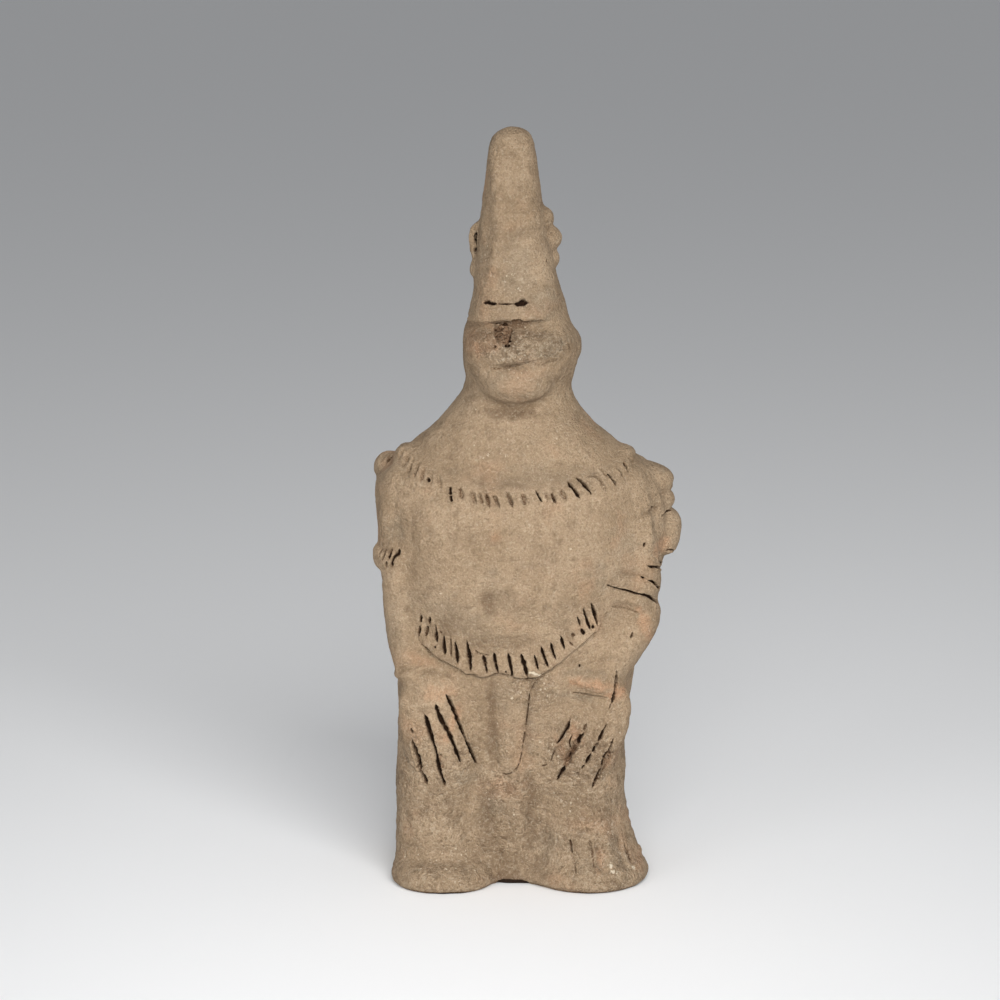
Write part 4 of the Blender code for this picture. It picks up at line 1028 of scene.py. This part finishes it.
def hollows(mesh, points, normals, rounds=12):
    """How deep each point lies below its stroked-smooth surroundings, in mm; under 0 stands proud."""
    ends = np.empty(len(mesh.edges) * 2, np.int32)
    mesh.edges.foreach_get("vertices", ends)
    first, second = ends.reshape(-1, 2).T
    total = len(points)
    count = np.bincount(ends, minlength=total) + 1.0
    smooth = points.copy()
    for _ in range(rounds):
        for axis in range(3):
            column = smooth[:, axis]
            around = np.bincount(first, column[second], total) + np.bincount(second, column[first], total)
            smooth[:, axis] = (around + column) / count
    return ((smooth - points) * normals).sum(axis=1)


def fit_to(points, box):
    """Stretches the points slightly, so that they fill the solid's box exactly."""
    low, high = (np.array(corner) / MM for corner in box)
    span = points.max(axis=0) - points.min(axis=0)
    return low + (points - points.min(axis=0)) * (high - low) / span


def edge_lines(surface):
    """The long edges that need fine faces: of the belts, the brows and the breaks."""
    back_belt = [(x, float(belt_edge(x, BACK))) for x in np.linspace(-43, 39, 20)]
    edges = [laid_on(surface, BELT_CURVE), laid_on(surface, back_belt, BACK)]
    edges += [laid_on(surface, BROW_EDGE, facing) for facing in (FRONT, BACK)]
    return edges + [laid_on(surface, outline) for outline, _ in BREAKS]


def build_figure(settings):
    skin = fired_skin(settings)
    points = read_points(skin)
    points[:, 2] -= points[:, 2].min()
    surface = surface_of(skin, points)
    write_points(skin, points)
    refine(skin, all_marks(surface), edge_lines(surface))
    points, normals = read_points(skin), read_normals(skin)
    stroke(points, normals, surface)
    dab(points, normals)
    undercut(points, normals)
    # The arch's hollow, and a mask of the shadow painted inside it.
    arch_shadow = cut_arch(points, normals)
    normals = write_points(skin, points)
    # Masks of the shadow painted just under each belt's lower edge.
    line = np.zeros(len(points))
    for facing in (FRONT, BACK):
        line = np.maximum(line, raise_belt(points, normals, facing))
        raise_collar(points, normals, facing)
        raise_brow(points, normals, facing)
    normals = write_points(skin, points)
    raw = break_out(points, normals)
    soil_and_shade = carve(points, normals, all_marks(surface_of(skin, points)))
    roughen(points, normals, settings.unevenness)
    points[:, 2] = np.maximum(points[:, 2], 0.0)
    normals = write_points(skin, points)
    # The lowest millimetre or two darkens unevenly towards the soil colour.
    dark_at_ground = smoothstep(1.7, 0.4, points[:, 2]) * (0.35 + 0.5 * lumpiness(points, 16.0, 28))
    # Soil in the cuts, painted shadow under the belt edges and in the arch, and the darkening at the ground.
    layers = {
        "soil_and_shade": np.max([soil_and_shade, line * 0.9, dark_at_ground, arch_shadow], axis=0),
        "raw": raw,
        # How hollow each point is; the finish paints shade into the hollows and lightens proud places.
        "hollow": hollows(skin, points, normals),
        "gritty": gritty(points, normals),
    }
    for name, values in {**layers, **patches(points, normals)}.items():
        store(skin, name, values)
    skin = reduced(skin, settings.triangles)
    write_points(skin, fit_to(read_points(skin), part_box(NODE)))
    skin.shade_smooth()
    figure = bpy.data.objects.new("clay_figure", skin)
    bpy.context.scene.collection.objects.link(figure)
    return figure


# ---- Finishes -----------------------------------------------------------------------------------


class Nodes:
    """A short way to add shader nodes to a tree and join them."""

    def __init__(self, tree):
        self.tree = tree

    def add(self, kind, inputs, **settings):
        """A new node, with its inputs by name or number, each from another node or as a constant."""
        node = self.tree.nodes.new(kind)
        for name, value in settings.items():
            setattr(node, name, value)
        for name, value in inputs.items():
            if isinstance(value, bpy.types.NodeSocket):
                self.tree.links.new(value, node.inputs[name])
            else:
                node.inputs[name].default_value = value
        return node

    def mix(self, share, first, second):
        node = self.add("ShaderNodeMix", {0: share, 6: first, 7: second}, data_type="RGBA")
        return node.outputs[2]

    def span(self, value, low, high, to_low=0.0, to_high=1.0):
        """A value read between two limits, eased and brought to a new range."""
        limits = {"Value": value, "From Min": low, "From Max": high, "To Min": to_low, "To Max": to_high}
        return self.add("ShaderNodeMapRange", limits, interpolation_type="SMOOTHSTEP").outputs["Result"]

    def sum(self, first, second, operation="ADD"):
        return self.add("ShaderNodeMath", {0: first, 1: second}, operation=operation).outputs[0]

    def product(self, first, second):
        return self.sum(first, second, "MULTIPLY")


def plain_material(name):
    """A new material with its node tree and its shader."""
    material = bpy.data.materials.new(name)
    material.use_nodes = True
    return material, material.node_tree, material.node_tree.nodes["Principled BSDF"]


def fired_clay(settings):
    """Sandy, gritty fired clay: mottled, rubbed, stained, soil in cuts; painted shade and highlights."""
    material, tree, shader = plain_material("fired_clay")
    nodes = Nodes(tree)
    span, product = nodes.span, nodes.product
    place = nodes.add("ShaderNodeTexCoord", {}).outputs["Object"]

    def noise(scale, detail, roughness):
        kind = {"Vector": place, "Scale": scale, "Detail": detail, "Roughness": roughness}
        return nodes.add("ShaderNodeTexNoise", kind).outputs["Fac"]

    def layer(name):
        return nodes.add("ShaderNodeAttribute", {}, attribute_name=name).outputs["Fac"]

    broad, mottle = noise(42.0, 3.0, 0.5), noise(150.0, 4.0, 0.6)
    freckle, sand = noise(430.0, 3.0, 0.6), noise(1150.0, 2.0, 0.7)
    blotch = noise(85.0, 5.0, 0.7)
    grains = nodes.add("ShaderNodeTexVoronoi", {"Vector": place, "Scale": 1250.0, "Randomness": 1.0})
    grain_tone = nodes.add("ShaderNodeSeparateColor", {"Color": grains.outputs["Color"]})
    grit, dust_and_highlight = layer("gritty"), layer("dust_and_highlight")
    rough = span(grit, 0.0, 1.0, 0.75, 1.3)
    patchy = span(grit, 0.2, 0.9, 0.85, 1.9)
    even = span(grit, 0.2, 0.9, 0.8, 1.4)
    coarse = span(grit, 0.2, 0.9, 0.5, 1.3)
    speck = nodes.sum(grain_tone.outputs["Green"], product(dust_and_highlight, 0.05))
    chalk = nodes.sum(dust_and_highlight, span(freckle, 0.3, 0.7, -0.5, 0.5))
    raw = product(span(layer("raw"), 0.1, 0.9, 0.0, 0.58), span(freckle, 0.35, 0.55, 0.5, 1.0))
    pitted = product(span(layer("raw"), 0.3, 0.9), span(sand, 0.53, 0.63, 0.0, 0.85))
    ragged = nodes.sum(layer("soil_and_shade"), span(sand, 0.3, 0.7, -0.12, 0.12))
    colour = nodes.mix(span(broad, 0.36, 0.64), settings.clay, settings.pale)
    # Each coat lies over the ones before it.
    for share, coat in (
        (product(span(mottle, 0.5, 0.7, 0.0, 0.55), even), settings.shade),
        (span(mottle, 0.48, 0.28, 0.0, 0.7), settings.pale),
        (product(span(blotch, 0.51, 0.64, 0.0, 0.5), coarse), settings.shade),
        (product(span(blotch, 0.48, 0.36, 0.0, 0.6), coarse), settings.pale),
        # Grey-green stains, and some painted shade in the same colour.
        (product(layer("stain_and_shade"), 0.62), settings.stain_and_shade),
        (product(layer("rubbed"), 0.75), settings.rubbed),
        # Grime and painted shade; past a strength of 1 it turns earth-brown.
        (product(layer("grime_and_shade"), 0.7), settings.shade),
        (span(layer("grime_and_shade"), 1.0, 2.0, 0.0, 0.55), settings.earth_and_shade),
        # Painted shade in the hollows, and paler proud places, as if worn.
        (span(layer("hollow"), 0.05, 0.9, 0.0, 0.5), settings.shade),
        (span(layer("hollow"), -0.1, -0.7, 0.0, 0.3), settings.pale),
        (product(span(freckle, 0.53, 0.7, 0.0, 0.4), patchy), settings.shade),
        (product(span(freckle, 0.47, 0.32, 0.0, 0.1), patchy), settings.speck_and_highlight),
        (product(span(sand, 0.52, 0.68, 0.0, 0.52), rough), settings.shade),
        (product(span(sand, 0.48, 0.32, 0.0, 0.2), rough), settings.speck_and_highlight),
        # Pale grains and specks, and chalky patches that include painted highlights.
        (span(speck, 0.992, 1.01, 0.0, 0.5), settings.speck_and_highlight),
        (span(chalk, 1.1, 2.0, 0.0, 0.85), settings.speck_and_highlight),
        (raw, settings.raw),
        (pitted, settings.soil_and_shade),
        # Soil in the cuts and painted shadow, earth-brown at their edges and near black inside.
        (span(ragged, 0.1, 0.36, 0.0, 0.85), settings.earth_and_shade),
        (span(ragged, 0.4, 0.62), settings.soil_and_shade),
    ):
        colour = nodes.mix(share, colour, coat)
    tree.links.new(colour, shader.inputs["Base Color"])
    tree.links.new(span(freckle, 0.3, 0.7, 0.82, 0.97), shader.inputs["Roughness"])
    shader.inputs["Specular IOR Level"].default_value = 0.15
    height = product(nodes.sum(product(sand, 0.8), product(freckle, 1.2)), rough)
    bump = nodes.add("ShaderNodeBump", {"Height": height, "Strength": 1.0, "Distance": 0.0015})
    tree.links.new(bump.outputs["Normal"], shader.inputs["Normal"])
    return material


def floor_finish(settings):
    """Matt pale board."""
    material, _, shader = plain_material("studio_floor")
    shader.inputs["Base Color"].default_value = settings.floor
    shader.inputs["Roughness"].default_value = 0.85
    return material


# ---- Settings, operators and panel --------------------------------------------------------------


def colour_setting(name, description, *rgb):
    return FloatVectorProperty(
        name=name, description=description, default=(*rgb, 1.0), subtype="COLOR", size=4, min=0.0, max=1.0
    )


def amount(name, description, default, low, high, kind=FloatProperty, **more):
    return kind(name=name, description=description, default=default, min=low, max=high, **more)


class ClaySettings(bpy.types.PropertyGroup):
    """Sizes and colours of the clay figure"""

    voxel: amount(
        "Clay fineness", "Size of the grid on which the lumps are fused", 0.001, 0.0005, 0.005,
        unit="LENGTH", precision=4,
    )
    softness: amount(
        "Wet-hand smoothing", "How many times the joints are stroked smooth", 20, 0, 60, IntProperty
    )
    pressing: amount(
        "Pressed joints", "How many times the joints of pressed-on lumps are stroked", 5, 0, 60, IntProperty
    )
    unevenness: amount(
        "Unevenness", "How lumpy the hand-modelled surface is", 1.0, 0.0, 3.0, subtype="FACTOR"
    )
    triangles: amount(
        "Triangles", "The most triangles that the finished skin keeps", 192000, 20000, 199000, IntProperty
    )
    clay: colour_setting("Clay", "The fired clay's usual colour", 0.26, 0.183, 0.1125)
    pale: colour_setting("Pale clay", "Drier clay and bare sand", 0.33, 0.239, 0.153)
    # Also paints the shade in hollows and in the grime-and-shade patches.
    shade: colour_setting("Dark clay", "Clay that holds dirt", 0.145, 0.095, 0.056)
    rubbed: colour_setting("Rubbed clay", "Orange clay under a worn skin", 0.42, 0.225, 0.125)
    # Also used for the painted shade above the belt and along the right wrist's ridge.
    stain_and_shade: colour_setting("Stained clay", "Grey-green stains", 0.165, 0.14, 0.102)
    # Also the colour of the highlights painted on the upper lip, the forehead and the left foot.
    speck_and_highlight: colour_setting("Dust", "Pale grains and specks", 0.62, 0.53, 0.4)
    raw: colour_setting("Raw break", "Clay where the skin has come away", 0.185, 0.103, 0.057)
    # Also paints the strongest painted shade: under the brow and chin, in the navel, flap valley and arch.
    earth_and_shade: colour_setting("Earth", "Brown earth round the cuts", 0.1, 0.054, 0.028)
    # Also the colour of the shadow painted under the belt edges and in the arch between the front feet.
    soil_and_shade: colour_setting("Soil", "Dark soil left in the cuts", 0.022, 0.01, 0.004)


class StudioSettings(bpy.types.PropertyGroup):
    """The floor, lights and camera"""

    floor: colour_setting("Floor", "The pale studio floor", 0.83, 0.83, 0.83)
    key_power: amount("Key light", "Power of the large soft light", 43.6, 0.0, 500.0, unit="POWER")
    fill_power: amount(
        "Fill light", "Power of the light that opens the shadows", 10.0, 0.0, 500.0, unit="POWER"
    )
    low_power: amount(
        "Low light", "Power of the small light that lifts the feet", 0.5, 0.0, 500.0, unit="POWER"
    )
    surround: amount("Surround", "How bright the even light from all sides is", 0.339, 0.0, 2.0)
    distance: amount(
        "Camera distance", "From the camera to the figure's middle", 1.52, 0.3, 100.0, unit="LENGTH"
    )
    elevation: amount(
        "Camera elevation", "How far above level the camera looks down from",
        math.radians(11.5), 0.0, math.radians(80.0), subtype="ANGLE",
    )
    lens: amount("Lens", "Focal length of the camera, in millimetres", 117.54, 20.0, 500.0)


# The floor's side, the lights' places and sizes, how far to the right of the middle the low light
# is aimed, the place that the camera looks at and its sensor's width in millimetres.
FLOOR_SIZE = 120.0
KEY_PLACE, KEY_SIZE = (0.62, -1.8, 1.15), 1.5
FILL_PLACE, FILL_SIZE = (-1.3, -1.5, 0.6), 1.2
LOW_PLACE, LOW_SIZE, LOW_SPREAD, LOW_AIM = (-0.12, -1.0, 0.5), 0.5, 45.0, -0.035
SKY = (0.95, 0.97, 1.0, 1.0)
CAMERA_TARGET = (-0.0093, 0.0, 0.1768)
SENSOR = 36.0


class CLAY_OT_figure(bpy.types.Operator):
    """Model the clay figure and give it its finish"""

    bl_idname = "clay.figure"
    bl_label = "Clay Figure"
    bl_options = {"REGISTER", "UNDO"}

    def execute(self, context):
        settings = context.scene.clay_figure
        figure = build_figure(settings)
        figure.data.materials.append(fired_clay(settings))
        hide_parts(NODE)
        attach(figure, BODY)
        return {"FINISHED"}


def area_light(name, place, target, size, power, spread=180.0):
    data = bpy.data.lights.new(name, "AREA")
    data.shape = "DISK"
    data.size = size
    data.energy = power
    data.spread = math.radians(spread)
    light = bpy.data.objects.new(name, data)
    light.location = place
    light.rotation_euler = (Vector(target) - Vector(place)).to_track_quat("-Z", "Y").to_euler()
    bpy.context.scene.collection.objects.link(light)


def surround(strength):
    """Even, faintly cool light from all sides."""
    world = bpy.data.worlds.new("surround")
    world.use_nodes = True
    shine = world.node_tree.nodes["Background"]
    shine.inputs["Color"].default_value = SKY
    shine.inputs["Strength"].default_value = strength
    return world


def studio_camera(settings):
    away = Vector((0.0, -math.cos(settings.elevation), math.sin(settings.elevation)))
    data = bpy.data.cameras.new("camera")
    data.lens = settings.lens
    data.sensor_width = SENSOR
    camera = bpy.data.objects.new("camera", data)
    camera.location = Vector(CAMERA_TARGET) + away * settings.distance
    camera.rotation_euler = (math.pi / 2.0 - settings.elevation, 0.0, 0.0)
    bpy.context.scene.collection.objects.link(camera)
    return camera


class CLAY_OT_studio(bpy.types.Operator):
    """Set up the floor, the soft lights and the camera"""

    bl_idname = "clay.studio"
    bl_label = "Studio"
    bl_options = {"REGISTER", "UNDO"}

    def execute(self, context):
        settings = context.scene.clay_studio
        low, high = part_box(NODE)
        bpy.ops.mesh.primitive_plane_add(size=FLOOR_SIZE, location=(0.0, 0.0, low.z))
        floor = context.object
        floor.name = "studio_floor"
        floor.data.materials.append(floor_finish(settings))
        middle = (low + high) / 2.0
        feet = Vector((middle.x + LOW_AIM, low.y, low.z))
        area_light("key_light", KEY_PLACE, middle, KEY_SIZE, settings.key_power)
        area_light("fill_light", FILL_PLACE, middle, FILL_SIZE, settings.fill_power)
        area_light("low_light", LOW_PLACE, feet, LOW_SIZE, settings.low_power, LOW_SPREAD)
        context.scene.world = surround(settings.surround)
        context.scene.camera = studio_camera(settings)
        context.scene.view_settings.view_transform = "Standard"
        return {"FINISHED"}


class CLAY_PT_panel(bpy.types.Panel):
    """Settings of the clay figure and its studio"""

    bl_idname = "CLAY_PT_panel"
    bl_label = "Clay Figure"
    bl_space_type = "VIEW_3D"
    bl_region_type = "UI"
    bl_category = "Clay Figure"

    def draw(self, context):
        for group, operator in (
            (context.scene.clay_figure, CLAY_OT_figure),
            (context.scene.clay_studio, CLAY_OT_studio),
        ):
            box = self.layout.box()
            for name in group.__annotations__:
                box.prop(group, name)
            box.operator(operator.bl_idname)


CLASSES = (ClaySettings, StudioSettings, CLAY_OT_figure, CLAY_OT_studio, CLAY_PT_panel)


def register():
    for cls in CLASSES:
        bpy.utils.register_class(cls)
    bpy.types.Scene.clay_figure = PointerProperty(type=ClaySettings)
    bpy.types.Scene.clay_studio = PointerProperty(type=StudioSettings)


def unregister():
    del bpy.types.Scene.clay_studio
    del bpy.types.Scene.clay_figure
    for cls in reversed(CLASSES):
        bpy.utils.unregister_class(cls)


def main():
    register()
    bpy.ops.clay.studio()
    bpy.ops.clay.figure()


if __name__ == "__main__":
    main()
